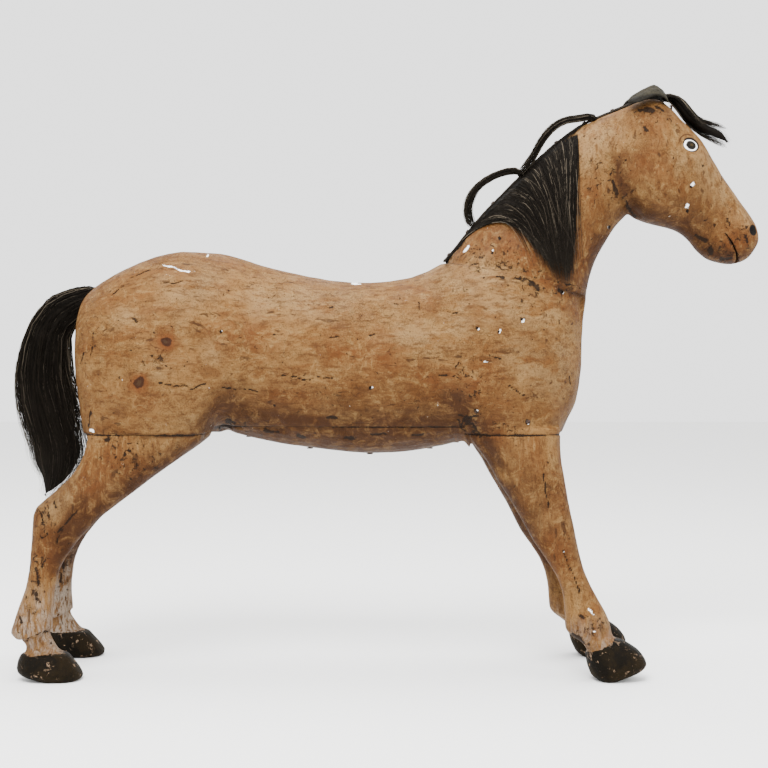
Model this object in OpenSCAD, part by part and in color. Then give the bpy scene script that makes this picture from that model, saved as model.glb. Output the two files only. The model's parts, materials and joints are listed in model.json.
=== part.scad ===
// Carved wooden horse with horsehair mane, forelock and tail and leather ears.
// Millimetres. +X is the way the horse faces, +Y its left side, +Z up.
// The origin is on the floor, under the middle of the horse.

/* [Trunk and legs] */
// Greatest width across the hindquarters
body_w = 164; // [150:1:178]
// Distance between the middles of a pair of hooves
hoof_spacing = 140; // [132:1:150]
// Greatest width of a hoof
hoof_w = 54; // [46:1:58]

/* [Neck and head] */
// Width of the neck block where it sits on the trunk
neck_w = 118; // [110:1:124]
// Greatest width of the head, across the cheeks
head_w = 80; // [72:1:86]

/* [Pegs and nails] */
// Diameter of the pegs that hold the legs
leg_peg_d = 16; // [12:1:18]
// Length of the pegs that hold the legs
leg_peg_len = 62; // [50:2:66]
// Diameter of the pegs that hold the neck block
neck_peg_d = 20; // [16:1:24]
// Length of the pegs that hold the neck block
neck_peg_len = 90; // [60:2:100]
// Diameter of the plug that the tail's hair is tied to
tail_plug_d = 14; // [10:1:16]
// Radial play of a peg in its hole
peg_play = 0.05; // [0.02:0.01:0.1]
// Diameter of the heads of the belly board's nails
nail_head_d = 8; // [6:0.5:9]
// Diameter of the heads of the tacks in the leather
tack_head_d = 5; // [4:0.5:6]

/* [Hair and leather] */
// Greatest width of the tail, side to side
tail_w = 54; // [44:1:58]
// Thickness of the mane where it lies on the neck
mane_t = 7; // [4:0.5:9]
// Width of the leather strip along the crest
strip_w = 9; // [7:0.5:11]
// Thickness of the ear leather
ear_t = 2.2; // [1.6:0.2:3]

/* [Hidden] */

RIGHT = -1;
LEFT = 1;
joint_z = 283;          // height of the flat joints between legs and trunk
belly_joint_z = 292;    // height of the belly board's upper face
belly_from = -198;      // the belly board's rear end
belly_to = 92;          // the belly board's front end
belly_front_lean = 0.6; // how far forward its front end leans for each millimetre down
belly_front_drop = 12;  // how far down it leans
neck_seat = [64, 0, 486];   // rear end of the flat seat of the neck block
neck_seat_tilt = 10.5;      // fall of that seat towards the chest, degrees
fine = 48;                  // facets of a round peg or hole
margin = 60;                // how far a cutting block reaches past the wood

// One row per section along the trunk: x, top, height of the widest place, bottom,
// half width as a share of half the body width, and squareness.
trunk_rows = [
    [-369.5, 408, 384, 362, 0.14, 2.0],
    [-367.5, 424, 376, 338, 0.38, 2.1],
    [-362.5, 440, 368, 306, 0.57, 2.2],
    [-353, 452, 362, 248, 0.73, 2.3],
    [-338, 463, 358, 212, 0.86, 2.4],
    [-310, 479, 356, 196, 0.95, 2.4],
    [-275, 493, 356, 190, 1.00, 2.4],
    [-243, 499, 358, 204, 0.99, 2.4],
    [-216, 498, 362, 238, 0.96, 2.3],
    [-198, 497, 364, 284, 0.93, 2.2],
    [-180, 493, 364, 282, 0.90, 2.2],
    [-155, 485, 364, 276, 0.87, 2.2],
    [-115, 474, 362, 268, 0.86, 2.2],
    [-70, 465, 360, 262, 0.88, 2.2],
    [-20, 462, 358, 258, 0.90, 2.2],
    [30, 469, 360, 261, 0.92, 2.2],
    [66, 485, 362, 267, 0.93, 2.2],
    [92, 501, 362, 270, 0.94, 2.3],
    [112, 512, 362, 240, 0.94, 2.3],
    [134, 520, 362, 212, 0.94, 2.4],
    [165, 520, 362, 208, 0.90, 2.4],
    [192, 510, 362, 236, 0.80, 2.3],
    [207, 498, 364, 278, 0.68, 2.2],
    [218, 484, 366, 301, 0.54, 2.2],
    [226, 470, 370, 318, 0.40, 2.1],
    [231, 460, 382, 346, 0.28, 2.0],
    [234, 456, 428, 408, 0.20, 2.0],
    [238, 453, 446, 439, 0.08, 2.0]
];

// Sections of the neck: x and z of the crest, x and z of the throat,
// half width as a share of half the neck width, and squareness.
neck_rows = [
    [54, 466, 236, 424, 1.02, 2.3],
    [68, 484, 238, 444, 1.00, 2.3],
    [83, 501, 241, 460, 0.96, 2.2],
    [101, 524, 246, 478, 0.87, 2.1],
    [124, 550, 254, 496, 0.78, 2.1],
    [152, 578, 264, 513, 0.71, 2.1],
    [181, 607, 274, 529, 0.66, 2.1],
    [210, 632, 284, 540, 0.63, 2.1]
];

// Sections of the head, from the throat to the lips: x and z of the crest and brow line,
// x and z of the jaw line, half width as a share of half the head width, and squareness.
head_rows = [
    [235, 649, 287, 543, 0.90, 2.1],
    [261, 661, 289, 544, 0.86, 2.1],
    [285, 671, 291, 543, 0.87, 2.1],
    [306, 680, 295, 540, 0.91, 2.2],
    [324, 680, 301, 537, 0.96, 2.3],
    [337, 671, 310, 534, 1.00, 2.4],
    [350, 657, 322, 531, 1.00, 2.4],
    [363, 645, 334, 528, 0.97, 2.4],
    [376, 631, 346, 524, 0.91, 2.4],
    [387, 612, 356, 518, 0.82, 2.3],
    [398, 594, 364, 510, 0.72, 2.2],
    [409, 578, 370, 502, 0.66, 2.2],
    [420, 562, 377, 495, 0.65, 2.2],
    [431, 547, 386, 489, 0.66, 2.3],
    [440, 533, 399, 485, 0.64, 2.3],
    [444, 521, 412, 484, 0.56, 2.2],
    [444, 511, 424, 487, 0.40, 2.1],
    [440, 503, 432, 492, 0.16, 2.0]
];

// Sections of a leg, level with the floor: z, rear x, front x, how far its middle has moved
// out from the thigh to the hoof (0 to 1), half width in millimetres, and squareness.
hind_leg_rows = [
    [283, -350, -206, 0.00, 33, 2.6],
    [266, -353, -228, 0.08, 31, 2.4],
    [249, -359, -251, 0.18, 29, 2.3],
    [232, -371, -274, 0.28, 26, 2.2],
    [215, -389, -296, 0.40, 23, 2.2],
    [198, -407, -319, 0.52, 20, 2.2],
    [180, -411, -341, 0.64, 18, 2.2],
    [161, -412, -358, 0.74, 16, 2.2],
    [143, -413, -371, 0.82, 14.5, 2.2],
    [125, -414, -380, 0.88, 14, 2.2],
    [106, -418, -384, 0.92, 14.5, 2.2],
    [84, -426, -387, 0.96, 15.5, 2.2],
    [66, -432, -388, 0.98, 17, 2.2],
    [54, -435, -387, 0.99, 18, 2.1],
    [46, -427, -383, 1.00, 17, 2.1],
    [38, -420, -378, 1.00, 17.5, 2.1],
    [31, -422, -371, 1.00, 21, 2.2],
    [24, -426, -365, 1.00, 24, 2.3],
    [14, -428, -357, 1.00, 26.5, 2.4],
    [7, -424, -353, 1.00, 27, 2.4],
    [3, -414, -353, 1.00, 25.5, 2.4],
    [0, -404, -357, 1.00, 22, 2.3]
];
front_leg_rows = [
    [283, 92, 204, 0.00, 30, 2.5],
    [266, 106, 204, 0.10, 28.5, 2.4],
    [249, 118, 205, 0.20, 27, 2.3],
    [232, 128, 208, 0.30, 25.5, 2.3],
    [206, 145, 212, 0.44, 23, 2.2],
    [180, 160, 217, 0.58, 20.5, 2.2],
    [158, 172, 221, 0.70, 18.5, 2.2],
    [140, 185, 225, 0.80, 17, 2.2],
    [122, 196, 231, 0.87, 15.5, 2.2],
    [104, 203, 239, 0.92, 15.5, 2.2],
    [86, 206, 249, 0.95, 16.5, 2.2],
    [70, 207, 257, 0.98, 18, 2.1],
    [59, 208, 260, 0.99, 18, 2.1],
    [51, 215, 263, 1.00, 17.5, 2.1],
    [44, 225, 277, 1.00, 19.5, 2.2],
    [36, 231, 290, 1.00, 22.5, 2.3],
    [28, 231, 297, 1.00, 25, 2.4],
    [19, 232, 301, 1.00, 27, 2.4],
    [11, 235, 295, 1.00, 26.5, 2.4],
    [5, 238, 282, 1.00, 25, 2.4],
    [0, 244, 267, 1.00, 21, 2.3]
];
// How far the left legs are bowed back of the right ones at mid height: the horse is cut by hand.
left_hind_bow = 8;
left_front_bow = 5;
thigh_y = 41;           // how far the middle of a leg's top is from the middle of the horse

// Sections of the tail, each set square to the hair: x, z, half depth, half width as a share
// of half the tail width, and the direction from its inner to its outer edge, degrees from +X.
tail_rows = [
    [-365, 441, 17, 0.34, 60],
    [-378, 434, 22, 0.50, 76],
    [-390, 426, 23.5, 0.62, 96],
    [-399.5, 412, 25, 0.72, 115],
    [-404.5, 400, 27, 0.80, 132],
    [-408, 382, 30, 0.90, 147],
    [-410, 362, 33.5, 0.97, 160],
    [-411, 341, 35.5, 1.00, 169],
    [-410, 318, 34.5, 0.98, 175],
    [-405, 292, 31.5, 0.92, 179],
    [-398, 275, 34.5, 0.84, 180],
    [-396, 258, 34.5, 0.76, 180],
    [-397, 243, 30, 0.66, 180],
    [-398, 228, 22, 0.52, 180],
    [-404, 214, 13.5, 0.36, 180],
    [-412, 202, 3, 0.12, 180]
];
tail_plug_at = [-362, 0, 431];  // outer end of the tail's plug, in the rump
tail_plug_len = 44;

// Middle line of the forelock with its half thickness and half width: x, z, half thickness, half width.
forelock_rows = [
    [333, 684, 3, 4],
    [341, 682, 5, 6],
    [349, 675.5, 7.5, 8],
    [356, 667, 8, 9],
    [363, 658, 7.5, 10],
    [371, 651, 7, 11],
    [380, 646, 8, 12],
    [390, 642, 8.5, 12],
    [400, 637, 7, 10],
    [410, 628, 2, 5]
];
// Middle lines of the two loose locks: x, y, z, half thickness, half width.
upper_lock_rows = [
    [244, -3, 660.5, 3, 4],
    [236, -3, 658.5, 3.5, 4.5],
    [226, -3, 657, 3.5, 4.5],
    [214, -3, 655.5, 3.5, 4.5],
    [203, -4, 650.5, 3.5, 4.5],
    [192, -4, 641, 3.5, 4.5],
    [182, -6, 626, 3.5, 4.5],
    [174, -8, 612.5, 3, 4.5]
];
lower_lock_rows = [
    [157, -4, 594.5, 3, 4],
    [147, -4, 595, 4, 5],
    [135, -4, 592, 4, 5],
    [121, -3, 586, 4, 5],
    [108, -3, 576, 4, 5],
    [100, -3, 563, 4, 5],
    [97, -3, 549, 4, 5],
    [100, -3, 537, 3, 4]
];
// The mane's side fall is a fan of hair from the crest: where the rearmost and foremost hairs
// start, counted along the sections, and then where they bend and end, as x and z.
mane_from = 2.3;
mane_to = 7.6;
mane_below_crest = 4;
mane_rear_hair = [[146, 566], [186, 478]];
mane_front_hair = [[218, 570], [216, 470]];
mane_gap = 1;           // how far the mane stands off the neck

// Middle line of an ear from its fixed end to its tip: x, y on the left side, z, half width.
ear_rows = [
    [334, 16, 675.5, 6],
    [331, 16.3, 683, 8],
    [326, 16.8, 688.5, 10.5],
    [317, 17.8, 693, 12.5],
    [307, 18.8, 689, 12.5],
    [297, 19.8, 683.5, 11],
    [290, 20.5, 679.5, 8],
    [285, 21, 675, 2]
];
ear_slant = 0.55;       // how much the outer side of an ear hangs below the inner side
ear_curl = 0.35;        // how much its edges curl down

// ---- Curves and skins ----

// Point at t (0 to 1) on a smooth curve between b and c, where a and d are their neighbours.
function smooth(a, b, c, d, t) =
    0.5 * (2 * b + (c - a) * t + (2 * a - 5 * b + 4 * c - d) * t * t
           + (3 * b - a - 3 * c + d) * t * t * t);

// Row at position s, where whole numbers are the table's own rows.
function row_at(rows, s) =
    let (last = len(rows) - 1,
         i = max(0, min(last - 1, floor(s))))
    smooth(rows[max(0, i - 1)], rows[i], rows[i + 1], rows[min(last, i + 2)], s - i);

// The table's rows with more between them.
function refine(rows, steps) =
    [for (i = [0 : (len(rows) - 1) * steps]) row_at(rows, i / steps)];

function signed_power(v, e) = sign(v) * pow(abs(v), e);

// Rounded outline point at angle a: 2 is an ellipse, and more is squarer.
function squircle(a, squareness) =
    [signed_power(cos(a), 2 / squareness), signed_power(sin(a), 2 / squareness)];

// Faces that close one end of a skin whose ring has n points from first on. A thin ring, which
// runs out over one face and back under the other, is closed by a ladder from face to face.
function end_faces(n, first, forward, thin) =
    thin ? [for (i = [0 : n / 2 - 2])
               let (a = first + i, b = a + 1, d = first + n - 1 - i, c = d - 1)
               each forward ? [[a, b, c], [a, c, d]] : [[c, b, a], [d, c, a]]]
         : [[for (i = [0 : n - 1]) first + (forward ? i : n - 1 - i)]];

// Closed solid through rings that all have the same number of points.
module skin(rings, thin = false) {
    n = len(rings[0]);
    m = len(rings);
    points = [for (ring = rings) each ring];
    sides = [for (i = [0 : m - 2], j = [0 : n - 1])
        let (a = i * n + j, b = i * n + (j + 1) % n)
        each [[a, b, b + n], [a, b + n, a + n]]];
    polyhedron(points, concat(end_faces(n, 0, false, thin), sides,
                              end_faces(n, (m - 1) * n, true, thin)));
}

// ---- Trunk ----

function trunk_ring(row, n) = [for (j = [0 : n - 1])
    let (p = squircle(360 * j / n, row[5]),
         reach = p[1] > 0 ? row[1] - row[2] : row[2] - row[3])
    [row[0], body_w / 2 * row[4] * p[0], row[2] + reach * p[1]]];

module trunk_form() {
    skin([for (row = refine(trunk_rows, 2)) trunk_ring(row, 44)]);
}

// Everything above the flat seat of the neck block, with the seat moved up by lift.
module above_neck_seat(lift = 0) {
    translate(neck_seat)
        rotate([0, neck_seat_tilt, 0])
            translate([-margin, -body_w, lift])
                cube([5 * body_w, 2 * body_w, 3 * body_w]);
}

module leg_cut() {
    for (x = [[-400, belly_from], [belly_to, 300]])
        translate([x[0], -body_w, 0])
            cube([x[1] - x[0], 2 * body_w, joint_z]);
}

module belly_block(gap = 0) {
    // The front end leans forward below the legs' joint, between the legs' rear edges.
    low = joint_z - belly_front_drop;
    rotate([90, 0, 0])
        linear_extrude(2 * body_w, center = true)
            polygon([[belly_from - gap, 200], [belly_to + gap, 200],
                     [belly_to + gap + belly_front_drop * belly_front_lean, low],
                     [belly_to + gap, joint_z], [belly_to + gap, belly_joint_z + gap],
                     [belly_from - gap, belly_joint_z + gap]]);
}

module trunk() {
    color("burlywood")
        difference() {
            trunk_form();
            leg_cut();
            belly_block();
            above_neck_seat();
            leg_peg_set(hind_peg_x, peg_play);
            leg_peg_set(front_peg_x, peg_play);
            neck_peg_set(peg_play);
            tail_plug_form(peg_play);
            tail_hole();
        }
}

module belly_board() {
    color("burlywood")
        intersection() {
            trunk_form();
            belly_block(-0.1);
        }
}

// ---- Neck and head ----

// The same rows with the half width in millimetres.
function widened(rows, half_w) =
    [for (r = rows) [r[0], r[1], r[2], r[3], r[4] * half_w, r[5]]];
neck_head_rows = concat(widened(neck_rows, neck_w / 2), widened(head_rows, head_w / 2));

// Section between a point on the upper line and one on the lower line, round the middle plane.
function strut_ring(row, n) = [for (j = [0 : n - 1])
    let (p = squircle(360 * j / n, row[5]),
         upper = [row[0], row[1]],
         lower = [row[2], row[3]],
         q = (upper + lower) / 2 + (upper - lower) / 2 * p[1])
    [q[0], row[4] * p[0], q[1]]];

module neck_and_head() {
    color("burlywood")
        difference() {
            intersection() {
                skin([for (row = refine(neck_head_rows, 2)) strut_ring(row, 36)]);
                above_neck_seat(0.1);
            }
            neck_peg_set(peg_play);
        }
}

// ---- Legs ----

function leg_middle_y(out) = thigh_y + (hoof_spacing / 2 - thigh_y) * out;

function leg_ring(row, side, bow, n) =
    let (middle_x = (row[1] + row[2]) / 2 - (side == LEFT ? bow * sin(180 * row[0] / joint_z) : 0),
         half_x = (row[2] - row[1]) / 2,
         half_y = row[4] * (row[0] < 40 ? hoof_w / 54 : 1))
    [for (j = [0 : n - 1])
        let (p = squircle(360 * j / n, row[5]))
        [middle_x + half_x * p[0], side * leg_middle_y(row[3]) + half_y * p[1], row[0]]];

module leg(rows, peg_x, side, bow) {
    color("burlywood")
        difference() {
            skin([for (row = refine(rows, 2)) leg_ring(row, side, bow, 24)]);
            leg_peg_pair(peg_x, side, peg_play);
        }
}

// ---- Pegs and nails ----

hind_peg_x = [-314, -272];
front_peg_x = [134, 172];

module leg_peg_pair(xs, side, play) {
    for (x = xs)
        translate([x, side * thigh_y, joint_z - leg_peg_len / 2 - play])
            cylinder(d = leg_peg_d + 2 * play, h = leg_peg_len + 2 * play, $fn = fine);
}

module leg_peg_set(xs, play) {
    for (side = [RIGHT, LEFT])
        leg_peg_pair(xs, side, play);
}

module leg_pegs(xs) {
    color("tan")
        leg_peg_set(xs, 0);
}

module neck_peg_set(play) {
    for (along = [58, 118])
        translate(neck_seat)
            rotate([0, neck_seat_tilt, 0])
                translate([along, 0, -neck_peg_len / 2 - play])
                    cylinder(d = neck_peg_d + 2 * play, h = neck_peg_len + 2 * play, $fn = fine);
}

module neck_pegs() {
    color("tan")
        neck_peg_set(0);
}

belly_nail_len = 46;
leg_nail_len = 58;
leg_nail_slant = 125;   // turned this far from straight up, so the nails slope down and in
strip_tack_len = 16;
ear_tack_len = 18;

// A cut nail, point up, with its head's underside at the origin.
module nail(head_d, length) {
    cylinder(d1 = head_d * 0.5, d2 = 1, h = length, $fn = 24);
    translate([0, 0, -1.2])
        cylinder(d1 = head_d * 0.8, d2 = head_d, h = 1.2, $fn = 24);
}

// Where the belly board's nails go in: x and the height of its underside there.
belly_nails_at = [[-165, 278.7], [-92, 264.7], [-20, 258], [52, 264.7]];

module belly_board_nails() {
    color("dimgray")
        for (at = belly_nails_at)
            translate([at[0], 0, at[1] - 0.3])
                nail(nail_head_d, belly_nail_len);
}

// Where the leg nails go in, left side: x, y and z.
leg_nails_at = [[104, 71.2, 311], [163, 70.8, 299]];

// Nails driven slantwise through the side of the trunk into the tops of the front legs.
module leg_nails() {
    color("dimgray")
        for (side = [RIGHT, LEFT])
            for (at = leg_nails_at)
                translate([at[0], side * at[1], at[2]])
                    rotate([side * leg_nail_slant, 0, 0])
                        nail(nail_head_d * 0.75, leg_nail_len);
}

// ---- Mane ----

crest_from = 1.1;       // the strip's lower end, counted along neck_head_rows
crest_to = 10.4;        // and its upper end
first_tack = 0.5;       // the first tack, counted on from the strip's lower end
tack_spacing = 1.3;     // from one tack to the next, counted the same way
strip_t = 2.8;

function crest_at(s) = let (row = row_at(neck_head_rows, s)) [row[0], row[1]];
function crest_normal(s) =
    let (d = crest_at(s + 0.05) - crest_at(s - 0.05))
    [-d[1], d[0]] / norm(d);

module mane_strip() {
    color("sienna")
        skin([for (i = [0 : 26])
            let (s = crest_from + (crest_to - crest_from) * i / 26,
                 low = crest_at(s) + crest_normal(s) * 0.4,
                 high = low + crest_normal(s) * strip_t,
                 w = strip_w / 2)
            [[low[0], -w, low[1]], [low[0], w, low[1]],
             [high[0], w * 0.7, high[1]], [high[0], -w * 0.7, high[1]]]], thin = true);
}

module mane_strip_tacks() {
    color("dimgray")
        for (i = [0 : 6]) {
            s = crest_from + first_tack + i * tack_spacing;
            top = crest_at(s) + crest_normal(s) * (strip_t + 0.4);
            lean = atan2(crest_normal(s)[0], crest_normal(s)[1]);
            translate([top[0], 0, top[1]])
                rotate([0, 180 + lean, 0])
                    nail(tack_head_d, strip_tack_len);
        }
}

// Half width of the neck at x, z: find the section line that passes there, then its outline.
function section_side(s, x, z) =
    let (row = row_at(neck_head_rows, s))
    (row[2] - row[0]) * (z - row[1]) - (row[3] - row[1]) * (x - row[0]);
function find_section(x, z, low, high, turns) =
    let (mid = (low + high) / 2)
    turns == 0 ? mid
    : section_side(mid, x, z) > 0 ? find_section(x, z, mid, high, turns - 1)
    : find_section(x, z, low, mid, turns - 1);
function neck_half_width(x, z) =
    let (row = row_at(neck_head_rows, find_section(x, z, 0, 10, 12)),
         span = norm([row[0] - row[2], row[1] - row[3]]),
         across = min(1, 2 * abs(norm([x - row[0], z - row[1]]) / span - 0.5)))
    row[4] * pow(1 - pow(across, row[5]), 1 / row[5]);

// Where a hair of the mane starts, q (0 to 1) of the way up the crest.
function mane_root(q) =
    let (s = mane_from + (mane_to - mane_from) * q)
    crest_at(s) - crest_normal(s) * mane_below_crest;
function mane_point(q, t) =
    let (middle = mane_rear_hair[0] * (1 - q) + mane_front_hair[0] * q,
         end = mane_rear_hair[1] * (1 - q) + mane_front_hair[1] * q)
    mane_root(q) * (1 - t) * (1 - t) + middle * 2 * t * (1 - t) + end * t * t;

module mane_hair() {
    across = 12;
    along = 14;
    // Each ring runs over the outer face and back under the inner one, at one place along the hairs.
    color("black")
        skin([for (k = [0 : along])
            let (t = k / along,
                 outer = [for (i = [0 : across])
                     let (q = i / across,
                          p = mane_point(q, t),
                          edge = 0.35 + 0.65 * sin(180 * q),
                          taper = min(1, 0.4 + 3 * t) * (1 - 0.6 * t * t))
                     [p[0], -neck_half_width(p[0], p[1]) - mane_gap - mane_t * edge * taper, p[1]]],
                 inner = [for (i = [across : -1 : 0])
                     let (p = mane_point(i / across, t))
                     [p[0], -neck_half_width(p[0], p[1]) - mane_gap, p[1]]])
            concat(outer, inner)], thin = true);
}

// A lock of hair along rows of x, y, z, half thickness and half width.
module lock(rows, n) {
    finer = refine(rows, 3);
    last = len(finer) - 1;
    skin([for (i = [0 : last])
        let (row = finer[i],
             d = finer[min(last, i + 1)] - finer[max(0, i - 1)],
             out = [-d[2], d[0]] / norm([d[0], d[2]]))
        [for (j = [0 : n - 1])
            let (c = row[3] * cos(360 * j / n), w = row[4] * sin(360 * j / n))
            [row[0] + out[0] * c, row[1] + w, row[2] + out[1] * c]]]);
}

module mane_lock_upper() {
    color("black")
        lock(upper_lock_rows, 12);
}

module mane_lock_lower() {
    color("black")
        lock(lower_lock_rows, 12);
}

module forelock_hair() {
    color("black")
        lock([for (row = forelock_rows) [row[0], 0, row[1], row[2], row[3]]], 16);
}

// ---- Ears ----

module ear(side) {
    across = 8;
    color("darkslategray")
        skin([for (row = refine(ear_rows, 2))
            let (leaf = function (lift) [for (i = [0 : across])
                     let (v = 2 * i / across - 1)
                     [row[0],
                      side * (row[1] + row[3] * v),
                      row[2] + lift - row[3] * (ear_curl * v * v + ear_slant * v)]],
                 top = leaf(ear_t / 2),
                 bottom = leaf(-ear_t / 2))
            side == RIGHT
                ? concat(bottom, [for (i = [across : -1 : 0]) top[i]])
                : concat(top, [for (i = [across : -1 : 0]) bottom[i]])], thin = true);
}

ear_tack_at = [337.6, 15, 670.4];   // under the head of the left ear's tack

module ear_tacks() {
    color("dimgray")
        for (side = [RIGHT, LEFT])
            translate([ear_tack_at[0], side * ear_tack_at[1], ear_tack_at[2]])
                rotate([180, 0, 0])
                    nail(tack_head_d, ear_tack_len);
}

// ---- Tail ----

// The bored hole reaches out past the plug to the rump's surface.
module tail_hole() {
    translate(tail_plug_at)
        rotate([0, -90, 0])
            cylinder(d = tail_plug_d + 2 * peg_play, h = 12, $fn = fine);
}

module tail_plug_form(play = 0) {
    translate(tail_plug_at)
        rotate([0, 90, 0])
            translate([0, 0, -play])
                cylinder(d = tail_plug_d + 2 * play, h = tail_plug_len + 2 * play, $fn = fine);
}

module tail_plug() {
    color("tan")
        tail_plug_form();
}

function tail_ring(row, n) = [for (j = [0 : n - 1])
    let (c = row[2] * cos(360 * j / n), w = tail_w / 2 * row[3] * sin(360 * j / n))
    [row[0] + c * cos(row[4]), w, row[1] + c * sin(row[4])]];

module tail_hair() {
    color("black")
        skin([for (row = refine(tail_rows, 2)) tail_ring(row, 24)]);
}

trunk();
belly_board();
neck_and_head();
leg(hind_leg_rows, hind_peg_x, RIGHT, left_hind_bow);  // leg_hind_right
leg(hind_leg_rows, hind_peg_x, LEFT, left_hind_bow);  // leg_hind_left
leg(front_leg_rows, front_peg_x, RIGHT, left_front_bow);  // leg_front_right
leg(front_leg_rows, front_peg_x, LEFT, left_front_bow);  // leg_front_left
leg_pegs(hind_peg_x);  // leg_pegs_hind
leg_pegs(front_peg_x);  // leg_pegs_front
neck_pegs();
belly_board_nails();
leg_nails();
mane_strip();
mane_strip_tacks();
mane_hair();
mane_lock_upper();
mane_lock_lower();
ear(RIGHT);  // ear_right
ear(LEFT);  // ear_left
ear_tacks();
forelock_hair();
tail_plug();
tail_hair();
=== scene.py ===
import json
import math

import bmesh
import bpy
import numpy as np
from mathutils import Matrix, Vector
from mathutils.bvhtree import BVHTree

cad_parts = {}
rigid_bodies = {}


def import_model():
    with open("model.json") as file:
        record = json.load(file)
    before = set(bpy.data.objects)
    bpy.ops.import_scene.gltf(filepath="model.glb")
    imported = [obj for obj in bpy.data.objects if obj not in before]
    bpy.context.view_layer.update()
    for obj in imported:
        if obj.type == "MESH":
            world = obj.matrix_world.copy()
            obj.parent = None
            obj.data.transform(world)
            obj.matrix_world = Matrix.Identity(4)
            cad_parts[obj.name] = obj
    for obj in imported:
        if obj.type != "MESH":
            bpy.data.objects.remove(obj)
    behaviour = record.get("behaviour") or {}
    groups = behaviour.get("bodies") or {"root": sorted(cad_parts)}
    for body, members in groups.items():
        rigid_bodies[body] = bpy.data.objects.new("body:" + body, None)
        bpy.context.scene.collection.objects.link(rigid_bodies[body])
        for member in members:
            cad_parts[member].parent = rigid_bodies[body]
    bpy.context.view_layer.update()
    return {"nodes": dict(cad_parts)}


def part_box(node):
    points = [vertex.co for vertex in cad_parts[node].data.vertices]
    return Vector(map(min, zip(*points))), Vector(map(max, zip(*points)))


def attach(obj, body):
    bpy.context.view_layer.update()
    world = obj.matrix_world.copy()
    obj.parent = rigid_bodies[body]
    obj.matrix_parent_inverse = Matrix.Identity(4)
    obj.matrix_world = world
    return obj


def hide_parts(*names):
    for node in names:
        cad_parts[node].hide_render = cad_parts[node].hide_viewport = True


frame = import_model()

MM = 0.001
nodes = frame["nodes"]

WOOD = ["trunk", "belly_board", "neck_and_head", "leg_hind_right", "leg_hind_left",
        "leg_front_right", "leg_front_left"]
JOINT_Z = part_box("leg_front_right")[1].z            # flat joints between legs and trunk
BELLY_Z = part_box("belly_board")[1].z                # top of the belly board
BELLY_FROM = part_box("belly_board")[0].x
BELLY_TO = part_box("leg_front_right")[0].x
BELLY_LEAN = 0.6                                    # its front end leans forward below the legs' joints
BELLY_DROP = 0.005                                  # and reaches this far below them
SEAT = Vector((0.064, 0, 0.486))                    # rear end of the neck's flat seat
SEAT_TILT = math.radians(10.5)
VOXEL = 1.75 * MM                                   # of the mesh that the wood is carved from
HALF = 0.2                                          # half the width of the tools that cut it
TURN = 2 * math.pi                                  # all the way round


# ---- Meshes ----

def fetch(items, key, width, kind=np.float32):
    """One property of all items of a mesh, in rows of width."""
    a = np.empty(len(items) * width, kind)
    items.foreach_get(key, a)
    return a.reshape(-1, width)


def coords(mesh):
    return fetch(mesh.vertices, "co", 3).astype(float)


def set_coords(mesh, co):
    mesh.vertices.foreach_set("co", co.astype(np.float32).ravel())
    mesh.update()


def normals(mesh):
    return fetch(mesh.vertex_normals, "vector", 3).astype(float)


def edges(mesh):
    return fetch(mesh.edges, "vertices", 2, np.int32)


def make(name, mesh):
    obj = bpy.data.objects.new(name, mesh)
    bpy.context.scene.collection.objects.link(obj)
    return obj


def from_arrays(name, co, faces):
    """A mesh object from vertices and a list of faces."""
    mesh = bpy.data.meshes.new(name)
    mesh.from_pydata([tuple(c) for c in co], [], [tuple(f) for f in faces])
    mesh.update()
    return make(name, mesh)


def modified(obj, kind, **settings):
    """Gives obj the mesh that one modifier makes of it."""
    m = obj.modifiers.new(kind, kind)
    for key, value in settings.items():
        setattr(m, key, value)
    bpy.context.view_layer.update()
    done = bpy.data.meshes.new_from_object(obj.evaluated_get(bpy.context.evaluated_depsgraph_get()))
    obj.modifiers.clear()
    old = obj.data
    obj.data = done
    bpy.data.meshes.remove(old)
    done.name = obj.name


def remesh(obj, voxel):
    modified(obj, "REMESH", mode="VOXEL", voxel_size=voxel, adaptivity=0)


def drop(obj):
    mesh = obj.data
    bpy.data.objects.remove(obj)
    bpy.data.meshes.remove(mesh)


def joined(name, meshes):
    """One mesh object from several lists of (vertices, faces)."""
    co, faces, at = [], [], 0
    for c, f in meshes:
        co.append(c)
        faces += [tuple(i + at for i in face) for face in f]
        at += len(c)
    return from_arrays(name, np.vstack(co), faces)


def smoothed(co, e, rounds):
    """Taubin smoothing, which keeps the volume."""
    count = np.bincount(e.ravel(), minlength=len(co))[:, None].clip(1)
    for r in range(rounds * 2):
        total = np.stack([np.bincount(e[:, 0], co[e[:, 1], k], len(co))
                          + np.bincount(e[:, 1], co[e[:, 0], k], len(co)) for k in range(3)], 1)
        co = co + (0.5 if r % 2 == 0 else -0.51) * (total / count - co)
    return co


def attribute(mesh, name, values):
    a = mesh.attributes.new(name, "FLOAT", "POINT")
    a.data.foreach_set("value", values.astype(np.float32))


def block(low, high):
    """Closed box from corner to corner, as vertices and faces."""
    co = np.array([[x, y, z] for x in (low[0], high[0]) for y in (low[1], high[1])
                   for z in (low[2], high[2])])
    return co, [(0, 1, 3, 2), (4, 6, 7, 5), (0, 4, 5, 1), (2, 3, 7, 6), (0, 2, 6, 4), (1, 5, 7, 3)]


def prism(outline, y0=-HALF, y1=HALF):
    """Closed solid from an outline of x and z, anticlockwise seen from the right side."""
    n = len(outline)
    co = np.array([[x, y, z] for y in (y0, y1) for x, z in outline])
    sides = [(i + n, (i + 1) % n + n, (i + 1) % n, i) for i in range(n)]
    return co, [tuple(range(n)), tuple(range(2 * n - 1, n - 1, -1))] + sides


def smooth_shaded(mesh):
    mesh.polygons.foreach_set("use_smooth", np.ones(len(mesh.polygons), bool))


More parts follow.
